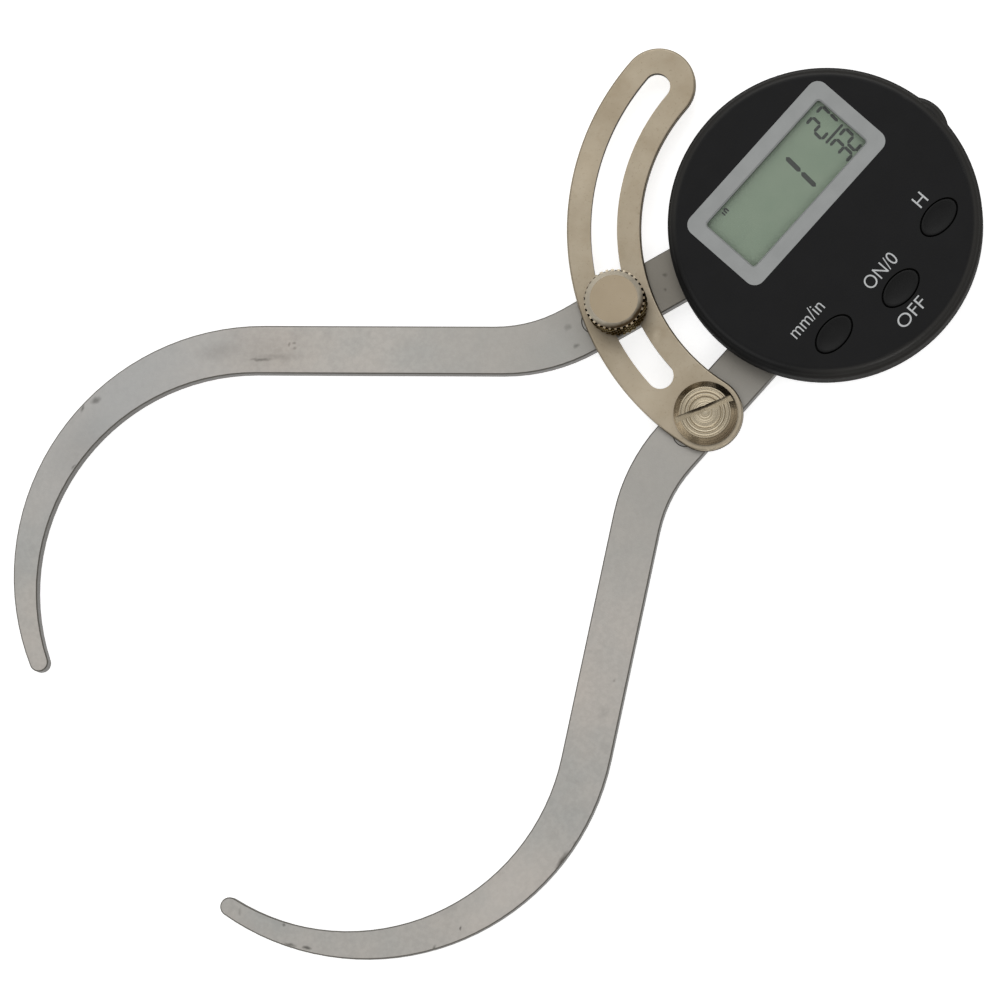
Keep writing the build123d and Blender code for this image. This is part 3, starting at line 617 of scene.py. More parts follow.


# %% [markdown]
# The bezel is a frame of grey moulding round the window, with a painted shade on its walls.
# The display glass is grey green, and very slightly uneven. The lens over it is
# clear: it lets most light straight through, so the display below isn't
# darkened, and keeps a faint gloss. A real glass shader would bend the light
# and need many more samples, for a window that is flat and thin.

# %% Bezel, display and lens
BEZEL_WALL_SHADE = (46, 48, 45)
SOFT_GLOSS = 0.12
LENS_SHARE = 0.04
bezel_grey, tree, shader = plain_finish(
    "bezel_grey",
    light=(148, 150, 149),
    dark=(142, 144, 143),
    metallic=0,
    roughness=0.4,
    per_metre=300,
    depth=0.006,
)
# Painted shade: the bezel's steep walls round the window are darkened.
colour_edges(tree, shader, slope(tree, low=0.2, high=0.5), linear(BEZEL_WALL_SHADE))
dress(bezel_grey, "display_bezel")
lcd_glass = plain_finish(
    "lcd_glass",
    light=(124, 140, 119),
    dark=(119, 136, 115),
    metallic=0,
    roughness=0.5,
    per_metre=220,
    depth=0.001,
    gloss=SOFT_GLOSS,
)[0]
dress(lcd_glass, "lcd_panel")
lens_clear, tree, shader = new_finish("lens_clear", metallic=0, roughness=0.08)
shader.inputs["Alpha"].default_value = LENS_SHARE
shader.inputs["Specular IOR Level"].default_value = SOFT_GLOSS
tints = [(0.3, (0.8, 0.84, 0.82, 1)), (0.7, (0.86, 0.88, 0.87, 1))]
tree.links.new(ramp(tree, noise(tree, per_metre=120), tints), shader.inputs["Base Color"])
dress(lens_clear, "display_lens")
print("the lens keeps", LENS_SHARE, "of the light, the rest passes")


# %% [markdown]
# The rest are small parts, most of them inside the head and round the pivot.
# Few show unless the part is turned over or taken apart, but each has the finish
# of its own material: bronze, spring steel, green board, gold contacts and so on.
# Two tables and a loop make them: what each finish is, and who wears it.

# %% Small parts
# Columns: light and dark colour, metallic, roughness, waves to the metre, bumps in mm
SMALL_FINISHES = {
    "screw_steel": ((150, 148, 144), (128, 126, 122), 1, 0.38, 500, 0.006),
    "bearing_bronze": ((176, 138, 84), (158, 120, 70), 1, 0.36, 420, 0.006),
    "spring_steel": ((142, 144, 150), (122, 124, 130), 1, 0.3, 420, 0.004),
    "board_green": ((24, 88, 56), (18, 74, 46), 0, 0.45, 300, 0.008),
    "chip_black": ((30, 30, 32), (24, 24, 26), 0, 0.5, 900, 0.006),
    "contact_metal": ((206, 190, 150), (188, 170, 128), 1, 0.3, 500, 0.004),
    "zebra_strip": ((96, 98, 104), (60, 62, 68), 0, 0.6, 2400, 0.004),
    "rotor_plastic": ((222, 218, 206), (208, 204, 192), 0, 0.5, 260, 0.006),
    "cell_steel": ((198, 198, 196), (180, 180, 178), 1, 0.26, 360, 0.003),
}
WEARERS = {
    "screw_steel": ("housing_screws", "board_screws", "head_screws", "pivot_shaft"),
    "bearing_bronze": ("pivot_bush", "thrust_washer"),
    "spring_steel": ("disc_spring", "retaining_clip"),
    "board_green": ("circuit_board",),
    "chip_black": ("controller_chip",),
    "contact_metal": ("battery_contacts", "switch_domes"),
    "zebra_strip": ("lcd_connectors",),
    "rotor_plastic": ("encoder_rotor",),
    "cell_steel": ("coin_cell",),
}
for name, values in SMALL_FINISHES.items():
    small_finish = plain_finish(name, *values)[0]
    dress(small_finish, *WEARERS[name])
    print(name, "on", len(WEARERS[name]), "nodes")


# %% [markdown]
# Turned parts, such as screws and knobs, are lathe work: a disc grows upwards
# and changes its radius as it goes. The same is done here by hand. A filled
# circle is the first face, and each step extrudes that face to the next height
# and scales it about the axis to the next radius, so the result is closed and
# has as few rings as its profile has points.

# %% Helpers for turned parts
SMOOTH_BELOW = math.radians(24)


def nothing_selected():
    """Everything is deselected, so that the next operator acts on new work alone."""
    bpy.ops.object.select_all(action="DESELECT")


def place_applied():
    """The selected piece's place, turn and scale go into its mesh."""
    bpy.ops.object.transform_apply(location=True, rotation=True, scale=True)


def faces_outward():
    """In edit mode, turns all faces of the piece outwards, and goes back to object mode."""
    bpy.ops.mesh.select_all(action="SELECT")
    bpy.ops.mesh.normals_make_consistent(inside=False)
    bpy.ops.object.mode_set(mode="OBJECT")


def grow(axis, rows):
    """In edit mode, extrudes the selected round face through (radius, height) rows."""
    radius, height = rows[0]
    for next_radius, next_height in rows[1:]:
        rise = {"value": (0, 0, next_height - height)}
        bpy.ops.mesh.extrude_region_move(TRANSFORM_OT_translate=rise)
        ratio = next_radius / radius
        centre = (*axis, next_height)
        bpy.ops.transform.resize(value=(ratio, ratio, 1), center_override=centre)
        radius, height = next_radius, next_height


def mm_rows(*pairs):
    """(radius, height) pairs in millimetres as rows in metres."""
    return [(radius * MM, height * MM) for radius, height in pairs]


def turned(name, axis, rows, sides=96):
    """A closed turned solid about a vertical axis, from (radius, height) rows, foot first."""
    nothing_selected()
    radius, height = rows[0]
    bpy.ops.mesh.primitive_circle_add(
        vertices=sides, radius=radius, fill_type="NGON", location=(*axis, height)
    )
    piece = bpy.context.object
    piece.name = name
    place_applied()
    bpy.ops.object.mode_set(mode="EDIT")
    bpy.ops.mesh.select_all(action="SELECT")
    grow(axis, rows)
    faces_outward()
    bpy.ops.object.shade_smooth_by_angle(angle=SMOOTH_BELOW)
    return piece


print("helpers: nothing_selected, place_applied, faces_outward, grow, mm_rows, turned")


# %% [markdown]
# The wing screw is a large flat slotted screw. Its head was faced on a lathe,
# which left rings round the centre that catch the light, and the edge is cut
# back in a wide chamfer. The rings are real shallow grooves: the profile
# steps down and up on its way from the chamfer to the middle, and no two of
# them are quite alike, because a lathe tool chatters. Bump alone would show
# rings too, but not in the mesh, and not in a light from the side.

# %% Head of the wing screw


def axis_of(node):
    """The vertical axis through the middle of a node's box, as (x, y) in metres."""
    node_low, node_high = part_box(node)
    return ((node_low.x + node_high.x) / 2, (node_low.y + node_high.y) / 2)


wing_screw_low, wing_screw_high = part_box("wing_screw")
SCREW_AXIS = axis_of("wing_screw")
SCREW_FOOT = wing_screw_low.z / MM
SCREW_TOP = wing_screw_high.z / MM
SCREW_RADIUS = (wing_screw_high.x - wing_screw_low.x) / 2 / MM
SCREW_SEAT = 4.5
SHANK = 2.0
SEAT_BEVEL = 0.1
FACE_RADIUS = SCREW_RADIUS - 1.0
CHAMFER_FOOT = SCREW_TOP - 1.1
# Columns: how far a ring starts inside the one before it, and how deep it is, in mm
RINGS = (
    (0.16, 0.05),
    (0.3, 0.03),
    (0.34, 0.06),
    (0.27, 0.025),
    (0.36, 0.055),
    (0.3, 0.03),
    (0.33, 0.04),
    (0.38, 0.02),
    (0.31, 0.02),
    (0.4, 0.012),
)
RING_BOTTOM = 0.07
RING_WIDTH = 0.17
screw_rows = [(SHANK, SCREW_FOOT), (SHANK, SCREW_SEAT), (SCREW_RADIUS - SEAT_BEVEL, SCREW_SEAT)]
screw_rows += [(SCREW_RADIUS, SCREW_SEAT + SEAT_BEVEL), (SCREW_RADIUS, CHAMFER_FOOT)]
screw_rows += [(FACE_RADIUS, SCREW_TOP)]
ring = FACE_RADIUS
for step, depth in RINGS:
    ring -= step
    screw_rows += [(ring, SCREW_TOP), (ring - RING_BOTTOM, SCREW_TOP - depth)]
    screw_rows += [(ring - RING_WIDTH, SCREW_TOP)]
screw = turned("slotted_screw", SCREW_AXIS, mm_rows(*screw_rows))
print("rings", len(RINGS), "screw radius", round(SCREW_RADIUS, 2))


# %% [markdown]
# Edit mode works on what is selected. By hand that is a click on an edge, and
# in code it is a test on its place. The selection is written in object mode and
# read when edit mode starts, so one helper goes out and back in, and says how
# many parts it found.

# %% Helper for selecting


def select_only(piece, kind, test):
    """In edit mode, selects the parts of a piece that pass a test; kind is VERT, EDGE or FACE."""
    bpy.ops.object.mode_set(mode="EDIT")
    bpy.ops.mesh.select_mode(type=kind)
    bpy.ops.mesh.select_all(action="DESELECT")
    bpy.ops.object.mode_set(mode="OBJECT")
    mesh = piece.data
    members = {"VERT": mesh.vertices, "EDGE": mesh.edges, "FACE": mesh.polygons}[kind]
    for member in members:
        member.select = test(member)
    found = sum(member.select for member in members)
    bpy.ops.object.mode_set(mode="EDIT")
    return found


print("helper: select_only")


# %% [markdown]
# The slot was sawn a little beside the centre, and its far wall tore, so it
# isn't quite straight. A box of the slot's width is made at the origin and cut
# into short lengths, and the corners of its far side are pushed about at random
# with a fixed seed. It is then turned and moved to where the slot has to be.

# %% Cutter for the slot
SLOT_DEGREES = -26.7
SLOT_TURN = math.radians(SLOT_DEGREES)
SLOT_WIDTH = 0.95
SLOT_SIDE = 0.62
SLOT_DEPTH = 0.85
SLOT_LENGTHS = 22
SLOT_RAG = 0.13
RAG_SEED = 4
CUTTER_LENGTH = 14
RAGGED_REACH = 6
slot_along = Vector((math.cos(SLOT_TURN), math.sin(SLOT_TURN)))
slot_across = Vector((-slot_along.y, slot_along.x))
slot_middle = Vector(SCREW_AXIS) + slot_across * SLOT_SIDE * MM
nothing_selected()
bpy.ops.mesh.primitive_cube_add(size=1, location=(0, 0, 0))
cutter = bpy.context.object
cutter.scale = (CUTTER_LENGTH * MM, SLOT_WIDTH * MM, 2 * SLOT_DEPTH * MM)
place_applied()


def runs_along(edge):
    """True for an edge of the cutter that runs along the slot."""
    first, second = (cutter.data.vertices[corner].co for corner in edge.vertices)
    return abs(first.x - second.x) > CUTTER_LENGTH / 2 * MM


select_only(cutter, "EDGE", runs_along)
bpy.ops.mesh.subdivide(number_cuts=SLOT_LENGTHS - 1)
ragged = select_only(
    cutter, "VERT", lambda corner: corner.co.y > 0 and abs(corner.co.x) < RAGGED_REACH * MM
)
bpy.ops.transform.vertex_random(offset=SLOT_RAG * MM, uniform=0, normal=0, seed=RAG_SEED)
bpy.ops.object.mode_set(mode="OBJECT")
cutter.location = (*slot_middle, SCREW_TOP * MM)
cutter.rotation_euler = (0, 0, SLOT_TURN)
place_applied()
print("corners pushed about on the far wall", ragged)


# %% [markdown]
# The box is taken away from the head with a Boolean modifier, which is applied
# at once. The exact solver is slower than the others, but it is the one that
# copes with the grooves that the box crosses.

# %% Slot of the wing screw
cut = screw.modifiers.new("slot", "BOOLEAN")
cut.operation = "DIFFERENCE"
cut.solver = "EXACT"
cut.object = cutter
nothing_selected()
bpy.context.view_layer.objects.active = screw
screw.select_set(True)
bpy.ops.object.modifier_apply(modifier="slot")
bpy.data.objects.remove(cutter)
bpy.ops.object.shade_smooth_by_angle(angle=SMOOTH_BELOW)
print("wing screw faces", len(screw.data.polygons))


# %% [markdown]
# Turning also leaves marks that are too fine to model. They are rings as well,
# so their noise has one dimension only, the distance from the screw's axis. An
# ordinary noise would make cloudy spots where the tool left circles.

# %% Helpers for turned metal


def distance_from_axis(tree, axis):
    """The distance in metres from a vertical axis."""
    shift = {0: object_place(tree), 1: (*axis, 0)}
    place = new_node(tree, "VectorMath", shift, operation="SUBTRACT").outputs["Vector"]
    level = new_node(tree, "VectorMath", {0: place, 1: (1, 1, 0)}, operation="MULTIPLY")
    sockets = {0: level.outputs["Vector"]}
    return new_node(tree, "VectorMath", sockets, operation="LENGTH").outputs["Value"]


def lathe_rings(tree, axis, per_metre):
    """A noise that changes only with the distance from a vertical axis."""
    sockets = {"W": distance_from_axis(tree, axis), "Scale": per_metre, "Detail": 2}
    return new_node(tree, "TexNoise", sockets, noise_dimensions="1D").outputs["Fac"]


print("helpers: distance_from_axis, lathe_rings")


# %% [markdown]
# The head has four tones. Its face shows the rings of the lathe. The floor of the slot is even, with a
# ragged painted shadow along the far wall. The chamfer is plain nickel but for a crescent of painted
# shade on one side. Whatever stands upright is painted nearly black as a painted shade. Height tells
# floor from face, and slope tells the rest.

# %% Nickel of the wing screw
TURNED_DARK = (146, 133, 110)
TURNED_LIGHT = (184, 174, 154)
SLOT_FLOOR = (160, 148, 126)
SLOT_SHADOW_DARK = (52, 42, 32)
CHAMFER_NICKEL = (166, 150, 124)
CHAMFER_SHADE = (72, 58, 42)
SCREW_WALL_SHADE = (40, 32, 23)
FLOOR_TONE_TOP = (SCREW_TOP - 0.6) * MM
FACE_TONE_FOOT = (SCREW_TOP - 0.2) * MM
SLOT_SHADOW_INSET = 0.1
LIT_SIDE = Vector((0.8, 5.9))
screw_metal, tree, shader = new_finish("screw_nickel", metallic=1, roughness=0.3)
ring_levels = [(0.3, linear(TURNED_DARK)), (0.7, linear(TURNED_LIGHT))]
turning = ramp(tree, lathe_rings(tree, SCREW_AXIS, per_metre=5200), ring_levels)
height = new_node(tree, "SeparateXYZ", {"Vector": object_place(tree)}).outputs["Z"]
out_of_slot = levels(tree, height, start=FLOOR_TONE_TOP, end=FACE_TONE_FOOT)
screw_middle = Vector(SCREW_AXIS) / MM
# Painted shadow: a dark ragged line on the slot floor along the far wall.
slot_shadow_place = screw_middle + slot_across * (SLOT_SIDE + SLOT_WIDTH / 2 - SLOT_SHADOW_INSET)
painted_slot_shadow = near(tree, slot_shadow_place, (3.4, 0.34), soft=0.5, turn=SLOT_DEGREES, wobble=0.35)
painted_slot_shadow = levels(tree, painted_slot_shadow, high=0.85)
slot_floor = mixed(tree, painted_slot_shadow, linear(SLOT_FLOOR), linear(SLOT_SHADOW_DARK))
face = mixed(tree, out_of_slot, slot_floor, turning)
# Painted shade: the chamfer darkens in a crescent away from the lit side.
shine = near(tree, screw_middle + LIT_SIDE, (11, 11), soft=0.75)
shaded = levels(tree, shine, low=0.8, high=0)
chamfer = mixed(tree, shaded, linear(CHAMFER_NICKEL), linear(CHAMFER_SHADE))
colour = mixed(tree, slope(tree, low=0.7, high=0.97), chamfer, face)
# Painted shade: upright walls are nearly black.
colour = mixed(tree, slope(tree, low=0.05, high=0.3), linear(SCREW_WALL_SHADE), colour)
tree.links.new(colour, shader.inputs["Base Color"])
grain = noise(tree, per_metre=4200, detail=3)
tree.links.new(levels(tree, grain, low=0.2, high=0.36), shader.inputs["Roughness"])
bumps(tree, shader, lathe_rings(tree, SCREW_AXIS, per_metre=7000), depth=0.03 * MM)
dress(screw_metal, "slotted_screw")
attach(screw, "frame")
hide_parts("wing_screw")
print("wing screw nodes", len(tree.nodes))


# %% [markdown]
# The thumb screw is turned too, but its rim is knurled: two sets of slanting
# grooves cross and leave rows of little teeth. A drum with many sides is cut
# finely, into rings and along them, and its corners are sorted into fields like
# those of a chessboard, one for each edge of the drum on each ring. Every second
# field is pulled in, so that teeth and hollows alternate along the rim and
# across it. A bump pattern would leave the rim's outline smooth.

# %% Knurl of the thumb screw
THUMB_AXIS = axis_of("thumb_screw")
KNURL_RADIUS = 4.85 * MM
KNURL_LOW = 5.4 * MM
KNURL_HIGH = 11.6 * MM
KNURL_DEPTH = 0.3 * MM
KNURL_SIDES = 64
KNURL_RINGS = 6
knurl_height = KNURL_HIGH - KNURL_LOW
nothing_selected()
bpy.ops.mesh.primitive_cylinder_add(
    vertices=KNURL_SIDES,
    radius=KNURL_RADIUS,
    depth=knurl_height,
    end_fill_type="NGON",
    location=(*THUMB_AXIS, (KNURL_LOW + KNURL_HIGH) / 2),
)
thumb = bpy.context.object
thumb.name = "knurled_thumb_screw"
place_applied()
bpy.ops.object.mode_set(mode="EDIT")
bpy.ops.mesh.subdivide(number_cuts=KNURL_RINGS - 1)


def is_low_corner(corner):
    """True for the corners in every second field of the knurl, as on a chessboard."""
    level = round((corner.co.z - KNURL_LOW) / knurl_height * KNURL_RINGS)
    turn = math.atan2(corner.co.y - THUMB_AXIS[1], corner.co.x - THUMB_AXIS[0])
    column = round(turn / (2 * math.pi / KNURL_SIDES))
    return (level + column) % 2 == 1


pulled_in = select_only(thumb, "VERT", is_low_corner)
shrink = 1 - KNURL_DEPTH / KNURL_RADIUS
bpy.ops.transform.resize(value=(shrink, shrink, 1), center_override=(*THUMB_AXIS, 0))
print("pulled in", pulled_in, "corners of the knurl")


# %% [markdown]
# Both ends of the drum are still flat faces with a zigzag outline. The top one
# is raised a little, rounded off with the To Sphere operator, which sets all
# its corners at one distance, and then scaled into the chamfer round the flat
# face. The foot one is taken in to the neck and down to the threaded end, so
# the whole screw is one closed piece.

# %% Ends of the thumb screw
THUMB_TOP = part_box("thumb_screw")[1].z
KNURL_MIDDLE = KNURL_RADIUS - KNURL_DEPTH / 2
RIM_TOP = (4.55 * MM, KNURL_HIGH + 0.12 * MM)
KNOB_FACE = (3.8 * MM, THUMB_TOP)
# From the foot's rim over the neck to the end of the thread, (radius, height) in mm
FOOT_ROWS = mm_rows((4.3, 5.05), (4.2, 5), (1.75, 5), (1.75, 3.2), (2, 3), (2, 0.6), (1.7, 0.3))
SAME_HEIGHT = 0.01 * MM
LYING_FLAT = 0.99


def select_end(height):
    """Selects the level face of the drum at a height."""
    return select_only(
        thumb,
        "FACE",
        lambda face: abs(face.center.z - height) < SAME_HEIGHT and abs(face.normal.z) > LYING_FLAT,
    )


print("top faces", select_end(KNURL_HIGH))
grow(THUMB_AXIS, [(KNURL_MIDDLE, KNURL_HIGH), RIM_TOP])
bpy.ops.transform.tosphere(value=1)
grow(THUMB_AXIS, [RIM_TOP, KNOB_FACE])
print("foot faces", select_end(KNURL_LOW))
grow(THUMB_AXIS, [(KNURL_MIDDLE, KNURL_LOW), FOOT_ROWS[0]])
bpy.ops.transform.tosphere(value=1)
grow(THUMB_AXIS, FOOT_ROWS)


# %% [markdown]
# The faces between a tooth and a hollow have corners at two depths, so they
# aren't flat, and it matters where they fold. Splitting each of them along its
# shorter diagonal gives the teeth clean flanks. The shading is smooth only
# below a small angle, so the teeth keep their edges and the rims stay round.

# %% Folds of the knurl
KNURL_SMOOTH_BELOW = math.radians(12)


def in_knurl(face, corners):
    """True for a face of the knurl with so many corners."""
    return len(face.vertices) == corners and KNURL_LOW < face.center.z < KNURL_HIGH


folded = select_only(thumb, "FACE", lambda face: in_knurl(face, 4))
bpy.ops.mesh.quads_convert_to_tris(quad_method="SHORTEST_DIAGONAL", ngon_method="BEAUTY")
faces_outward()
bpy.ops.object.shade_smooth_by_angle(angle=KNURL_SMOOTH_BELOW)
print("folded", folded, "faces of the knurl")


# %% [markdown]
# The knob's face is plain turned nickel. Its chamfered rim is painted bright as a painted highlight, all
# but a crescent of painted dark reflection on one side. The highlight is an oval spot again, as on the
# legs, only large and a little beside the axis.

# %% Nickel of the thumb screw
KNOB_DARK = (158, 144, 122)
KNOB_LIGHT = (166, 152, 130)
RIM_DARK_REFLECTION = (78, 63, 44)
RIM_HIGHLIGHT = (222, 211, 190)
KNOB_WALL = (148, 137, 116)
HIGHLIGHT_PLACE = Vector(THUMB_AXIS) / MM + Vector((0.3, 1.27))
knob_metal, tree, shader = new_finish("knob_nickel", metallic=1, roughness=0.3)
tone_levels = [(0.35, linear(KNOB_DARK)), (0.65, linear(KNOB_LIGHT))]
tone = ramp(tree, noise(tree, per_metre=110, detail=3), tone_levels)
# Painted highlight and painted dark reflection on the chamfered rim, set by an oval spot beside the
# axis.
shine = near(tree, HIGHLIGHT_PLACE, (5.5, 5.5), soft=0.85, wobble=0.5)
rim = mixed(tree, shine, linear(RIM_DARK_REFLECTION), linear(RIM_HIGHLIGHT))
colour = mixed(tree, slope(tree, low=0.86, high=0.97), rim, tone)
colour = mixed(tree, slope(tree, low=0.15, high=0.5), linear(KNOB_WALL), colour)
tree.links.new(colour, shader.inputs["Base Color"])
grain = noise(tree, per_metre=4200, detail=3)
tree.links.new(levels(tree, grain, low=0.24, high=0.36), shader.inputs["Roughness"])
bumps(tree, shader, grain, depth=0.003 * MM)
dress(knob_metal, "knurled_thumb_screw")
print("thumb screw nodes", len(tree.nodes))


# %% [markdown]
# The knurl is darker still: dirt and tarnish sit in its grooves and only the points are rubbed bright.
# Depth isn't known to a material, but the distance from the axis is, and in a knurl that is the same. So
# the knurl gets a material slot of its own, given to its faces. Metal mirrors nearly all of a light that
# grazes it, whatever its colour, so its Specular Tint is set brown, a painted shade that darkens what
# the knurl mirrors.

# %% Nickel of the knurl
KNURL_GROOVE = (60, 54, 43)
KNURL_FLANK = (112, 103, 86)
KNURL_POINT = (172, 162, 142)
KNURL_GRAZING_SHADE = (112, 106, 94)
knurl_metal, tree, shader = new_finish("knurl_nickel", metallic=1, roughness=0.22)
# Painted shade: a brown Specular Tint darkens the knurl's grazing reflections.
shader.inputs["Specular Tint"].default_value = linear(KNURL_GRAZING_SHADE)
from_axis = distance_from_axis(tree, THUMB_AXIS)
height = levels(tree, from_axis, start=KNURL_RADIUS - KNURL_DEPTH, end=KNURL_RADIUS)
tarnish = [(0.3, linear(KNURL_GROOVE)), (0.8, linear(KNURL_FLANK)), (1, linear(KNURL_POINT))]
tree.links.new(ramp(tree, height, tarnish), shader.inputs["Base Color"])
grain = noise(tree, per_metre=3000, detail=2)
tree.links.new(levels(tree, grain, low=0.14, high=0.3), shader.inputs["Roughness"])
thumb.data.materials.append(knurl_metal)
nothing_selected()
thumb.select_set(True)
bpy.context.view_layer.objects.active = thumb
knurl_faces = select_only(thumb, "FACE", lambda face: in_knurl(face, 3))
thumb.active_material_index = 1
bpy.ops.object.material_slot_assign()
bpy.ops.object.mode_set(mode="OBJECT")
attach(thumb, "thumb_knob")
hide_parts("thumb_screw")
print("faces of the knurl", knurl_faces, "of", len(thumb.data.polygons))


# %% [markdown]
# The display shows its figures as dark segments. One segment is a flat strip
# with pointed ends: a plane is stretched and cut once each way, the corners on
# its middle line are pushed out, and it gets a hair of thickness. A strip is
# made once for each size, and every bar is a copy of one, turned and moved to
# its place on the display glass.

# %% Helpers for display segments
LENS_OVERLAP = 0.95 * MM
lens_low, lens_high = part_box("display_lens")
WINDOW_LOW = Vector((lens_low.x + LENS_OVERLAP, lens_low.y + LENS_OVERLAP))
WINDOW_SIZE = Vector((lens_high.x - LENS_OVERLAP, lens_high.y - LENS_OVERLAP)) - WINDOW_LOW
GLASS_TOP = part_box("lcd_panel")[1].z
SEGMENT_RISE = 0.03 * MM
HAIR = 0.01 * MM


def in_window(across, up):
    """A place in the window, from shares of its width and height."""
    return WINDOW_LOW + Vector((across * WINDOW_SIZE.x, up * WINDOW_SIZE.y))


def strip(length, width):
    """A flat strip along X with pointed ends, at the origin."""
    nothing_selected()
    bpy.ops.mesh.primitive_plane_add(size=1, location=(0, 0, 0))
    plate = bpy.context.object
    plate.scale = (length - width, width, 1)
    place_applied()
    bpy.ops.object.mode_set(mode="EDIT")
    bpy.ops.mesh.subdivide(number_cuts=1)
    select_only(plate, "VERT", lambda corner: abs(corner.co.y) < HAIR)
    stretch = length / (length - width)
    bpy.ops.transform.resize(value=(stretch, 1, 1), center_override=(0, 0, 0))
    bpy.ops.mesh.select_all(action="SELECT")
    rise = {"value": (0, 0, SEGMENT_RISE)}
    bpy.ops.mesh.extrude_region_move(TRANSFORM_OT_translate=rise)
    faces_outward()
    return plate


def copied(piece, name, location, turn=0):
    """A copy of a piece with its own mesh, turned about Z and set at a place."""
    nothing_selected()
    twin = piece.copy()
    twin.data = piece.data.copy()
    twin.name = name
    scene.collection.objects.link(twin)
    twin.location = location
    twin.rotation_euler = (0, 0, turn)
    twin.select_set(True)
    bpy.context.view_layer.objects.active = twin
    place_applied()
    return twin


print("window in mm:", [round(v / MM, 2) for v in WINDOW_SIZE])


# %% [markdown]
# A figure is drawn as on any such display, from up to seven bars between six
# corners, all leaning a little. A text object would be quicker, but its font
# has round strokes and no gaps. The reading is 1 27/32: a tall 1, and to the
# right of it two pairs of small figures over and under a level bar.

# %% Figures of the reading
CORNERS = {"tl": (0, 1), "tr": (1, 1), "ml": (0, 0.5), "mr": (1, 0.5), "bl": (0, 0), "br": (1, 0)}
BARS = {"a": "tl tr", "b": "tr mr", "c": "mr br", "d": "bl br", "e": "ml bl", "f": "tl ml", "g": "ml mr"}
STROKES = {"1": "bc", "2": "abged", "3": "abgcd", "7": "abc"}
SLANT = 0.06
strips = {}


def laid_bar(start, end, width):
    """A copy of the strip of this length and width, laid between two points in metres."""
    along = end - start
    size = (round(along.length, 6), width)
    if size not in strips:
        strips[size] = strip(along.length, width)
    middle = (start + end) / 2
    return copied(strips[size], "reading_bar", (*middle, GLASS_TOP), math.atan2(along.y, along.x))


def figure(which, left, right, low, high, width, gap):
    """The bars of one figure in a box of the window, which is given in shares of its size."""
    middle = in_window(0, (low + high) / 2)
    corner = {}
    for name, (across, up) in CORNERS.items():
        place = in_window(left + (right - left) * across, low + (high - low) * up)
        corner[name] = place + Vector((SLANT * (place.y - middle.y), 0))
    made = []
    for stroke in STROKES[which]:
        start, end = (corner[name] for name in BARS[stroke].split())
        inset = (end - start).normalized() * gap
        made.append(laid_bar(start + inset, end - inset, width))
    return made


# Columns: figure, left, right, foot and head in shares of the window, stroke and gap in mm
FIGURES = (
    ("1", 0.53, 0.612, 0.13, 0.8, 0.78, 0.08),
    ("2", 0.842, 0.9, 0.56, 0.9, 0.5, 0.03),
    ("7", 0.932, 0.986, 0.56, 0.9, 0.5, 0.03),
    ("3", 0.838, 0.895, 0.05, 0.4, 0.5, 0.03),
    ("2", 0.92, 0.978, 0.05, 0.4, 0.5, 0.03),
)
FRACTION_BAR = ((0.835, 0.475), (0.99, 0.475))
FRACTION_BAR_WIDTH = 0.42
bars = []
for which, left, right, low, high, width, gap in FIGURES:
    bars += figure(which, left, right, low, high, width * MM, gap * MM)
bar_ends = [in_window(*place) for place in FRACTION_BAR]
bars.append(laid_bar(*bar_ends, FRACTION_BAR_WIDTH * MM))
print("bars", len(bars), "from", len(strips), "strips")


# %% [markdown]
# A tiny unit sign stands near the upper left corner of the window. At this size
# it is only a few strokes, so it is laid from the same strips: one for the i,
# and two with a bar across for the n. Then all bars are joined to one piece,
# because they are one film on the real display.

# %% Unit sign and joining
SIGN_FOOT = 0.885
SIGN_HEAD = 0.965
SIGN_COLUMNS = (0.122, 0.138, 0.154)
SIGN_WIDTH = 0.27 * MM
for column in SIGN_COLUMNS:
    upright = (in_window(column, SIGN_FOOT), in_window(column, SIGN_HEAD))
    bars.append(laid_bar(*upright, SIGN_WIDTH))
across = [in_window(column, SIGN_HEAD) for column in SIGN_COLUMNS[1:]]
bars.append(laid_bar(*across, SIGN_WIDTH))
for plate in strips.values():
    bpy.data.objects.remove(plate)
nothing_selected()
for bar in bars:
    bar.select_set(True)
bpy.context.view_layer.objects.active = bars[0]
bpy.ops.object.join()
reading = bpy.context.object
reading.name = "display_reading"
segment_dark = plain_finish(
    "segment_dark",
    light=(34, 40, 32),
    dark=(28, 34, 27),
    metallic=0,
    roughness=0.6,
    per_metre=400,
    depth=0.001,
    gloss=SOFT_GLOSS,
)[0]
dress(segment_dark, "display_reading")
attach(reading, "frame")
print("faces in the reading", len(reading.data.polygons))


# %% [markdown]
# The three keys are oval, soft to the eye, and a little dished for the finger,
# with a rounded rim, so that a dark gap seems to run round each of them. They
# are turned like the screws: rows of radius and height from the plunger to the
# dish, but made about the origin and squeezed into an oval. One key is
# modelled so, the three that stay are copies of it, and the first is removed.

# %% Keys
KEY_OVAL = 4.3 / 7.2
KEY_SIDES = 64
KEY_SMOOTH_BELOW = math.radians(40)
key_low, key_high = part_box("zero_button")
KEY_TOP = key_high.z / MM
KEY_FOOT = key_low.z / MM
PLUNGER = 1.0
FLANGE = 4.05
FLANGE_FOOT = 7.7
FLANGE_TOP = 8.2
KEY_SIDE = 3.56
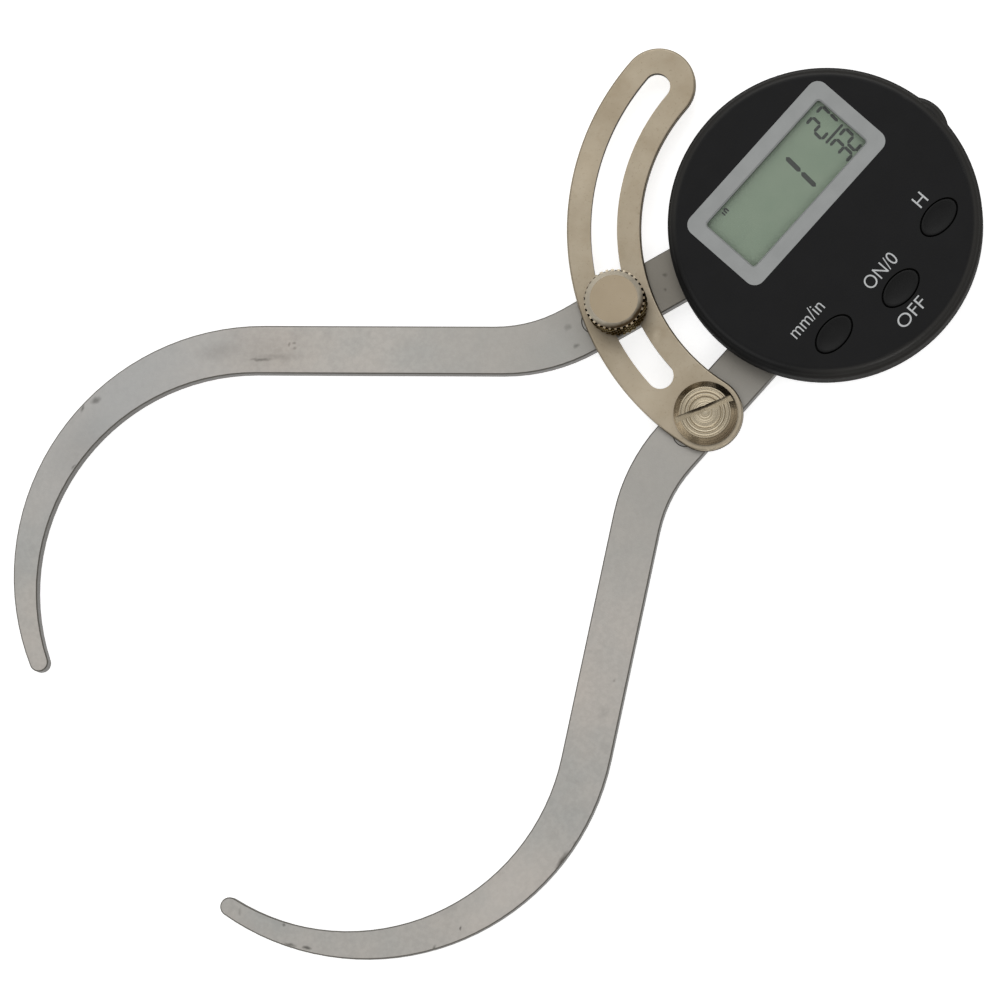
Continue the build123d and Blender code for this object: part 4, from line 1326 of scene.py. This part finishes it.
# Columns: radius and how far below the key's highest ring, in mm
KEY_CROWN = (
    (KEY_SIDE, 0.34),
    (3.5, 0.15),
    (3.36, 0.03),
    (3.15, 0),
    (2.9, 0.04),
    (2.4, 0.12),
    (1.6, 0.18),
    (0.8, 0.2),
)
key_rows = [(PLUNGER, KEY_FOOT), (PLUNGER, FLANGE_FOOT), (FLANGE, FLANGE_FOOT)]
key_rows += [(FLANGE, FLANGE_TOP), (KEY_SIDE, FLANGE_TOP)]
key_rows += [(radius, KEY_TOP - drop) for radius, drop in KEY_CROWN]
first_key = turned("dished_key", (0, 0), mm_rows(*key_rows), sides=KEY_SIDES)
bpy.ops.object.shade_smooth_by_angle(angle=KEY_SMOOTH_BELOW)
bpy.ops.transform.resize(value=(1, KEY_OVAL, 1), center_override=(0, 0, 0))
place_applied()
for body, node in (
    ("units_key", "units_button"),
    ("zero_key", "zero_button"),
    ("hold_key", "hold_button"),
):
    key = copied(first_key, node.replace("button", "dished_key"), (*axis_of(node), 0))
    dress(button_black, key.name)
    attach(key, body)
    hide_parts(node)
bpy.data.objects.remove(first_key)
print("keys from", round(KEY_FOOT, 2), "to", round(KEY_TOP, 2))


# %% [markdown]
# The keys are marked in white paint. Text objects are made, their outline is
# thinned a little and given a hair of thickness, and they are turned into
# meshes. Only then are they scaled and moved beside their keys, just proud of
# the face as printed paint is. An image would be blurred from close by.

# %% Painted marks
FACE_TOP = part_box("front_housing")[1].z
PAINT_RISE = 0.015 * MM
LETTER_THINNING = -0.006


def mark(name, words, length, height, middle):
    """A line of painted words of a length and height in mm, centred at a place in mm."""
    nothing_selected()
    bpy.ops.object.text_add(location=(0, 0, 0))
    letters = bpy.context.object
    letters.name = name
    letters.data.body = words
    letters.data.extrude = PAINT_RISE
    letters.data.offset = LETTER_THINNING
    letters.data.align_x = "CENTER"
    letters.data.align_y = "CENTER"
    bpy.ops.object.convert(target="MESH")
    across = length * MM / letters.dimensions.x
    along = height * MM / letters.dimensions.y
    bpy.ops.transform.resize(value=(across, along, 1))
    bpy.ops.transform.translate(value=(middle[0] * MM, middle[1] * MM, FACE_TOP))
    place_applied()
    return letters


# Columns: name, words, length, height and middle in mm
MARKS = (
    ("mark_units", "mm/in", 6.7, 2.15, (-13.4, -8.3)),
    ("mark_on", "ON/0", 6.5, 2.15, (-0.1, -11.9)),
    ("mark_off", "OFF", 5.5, 2.05, (-1.8, -19.9)),
    ("mark_hold", "H", 1.8, 2.05, (12.4, -9.1)),
)
paint_white = plain_finish(
    "paint_white",
    light=(190, 192, 192),
    dark=(178, 180, 180),
    metallic=0,
    roughness=0.5,
    per_metre=900,
    depth=0.003,
)[0]
for name, words, length, height, middle in MARKS:
    letters = mark(name, words, length, height, middle)
    dress(paint_white, name)
    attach(letters, "frame")
    print(name, [round(v / MM, 2) for v in letters.dimensions])


# %% [markdown]
# Last, the box of the finished model is printed. Looks may not change the
# object's size.

# %% Sizes and finish
low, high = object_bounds()
print("box now in mm:", [round(v / MM, 2) for v in high - low])
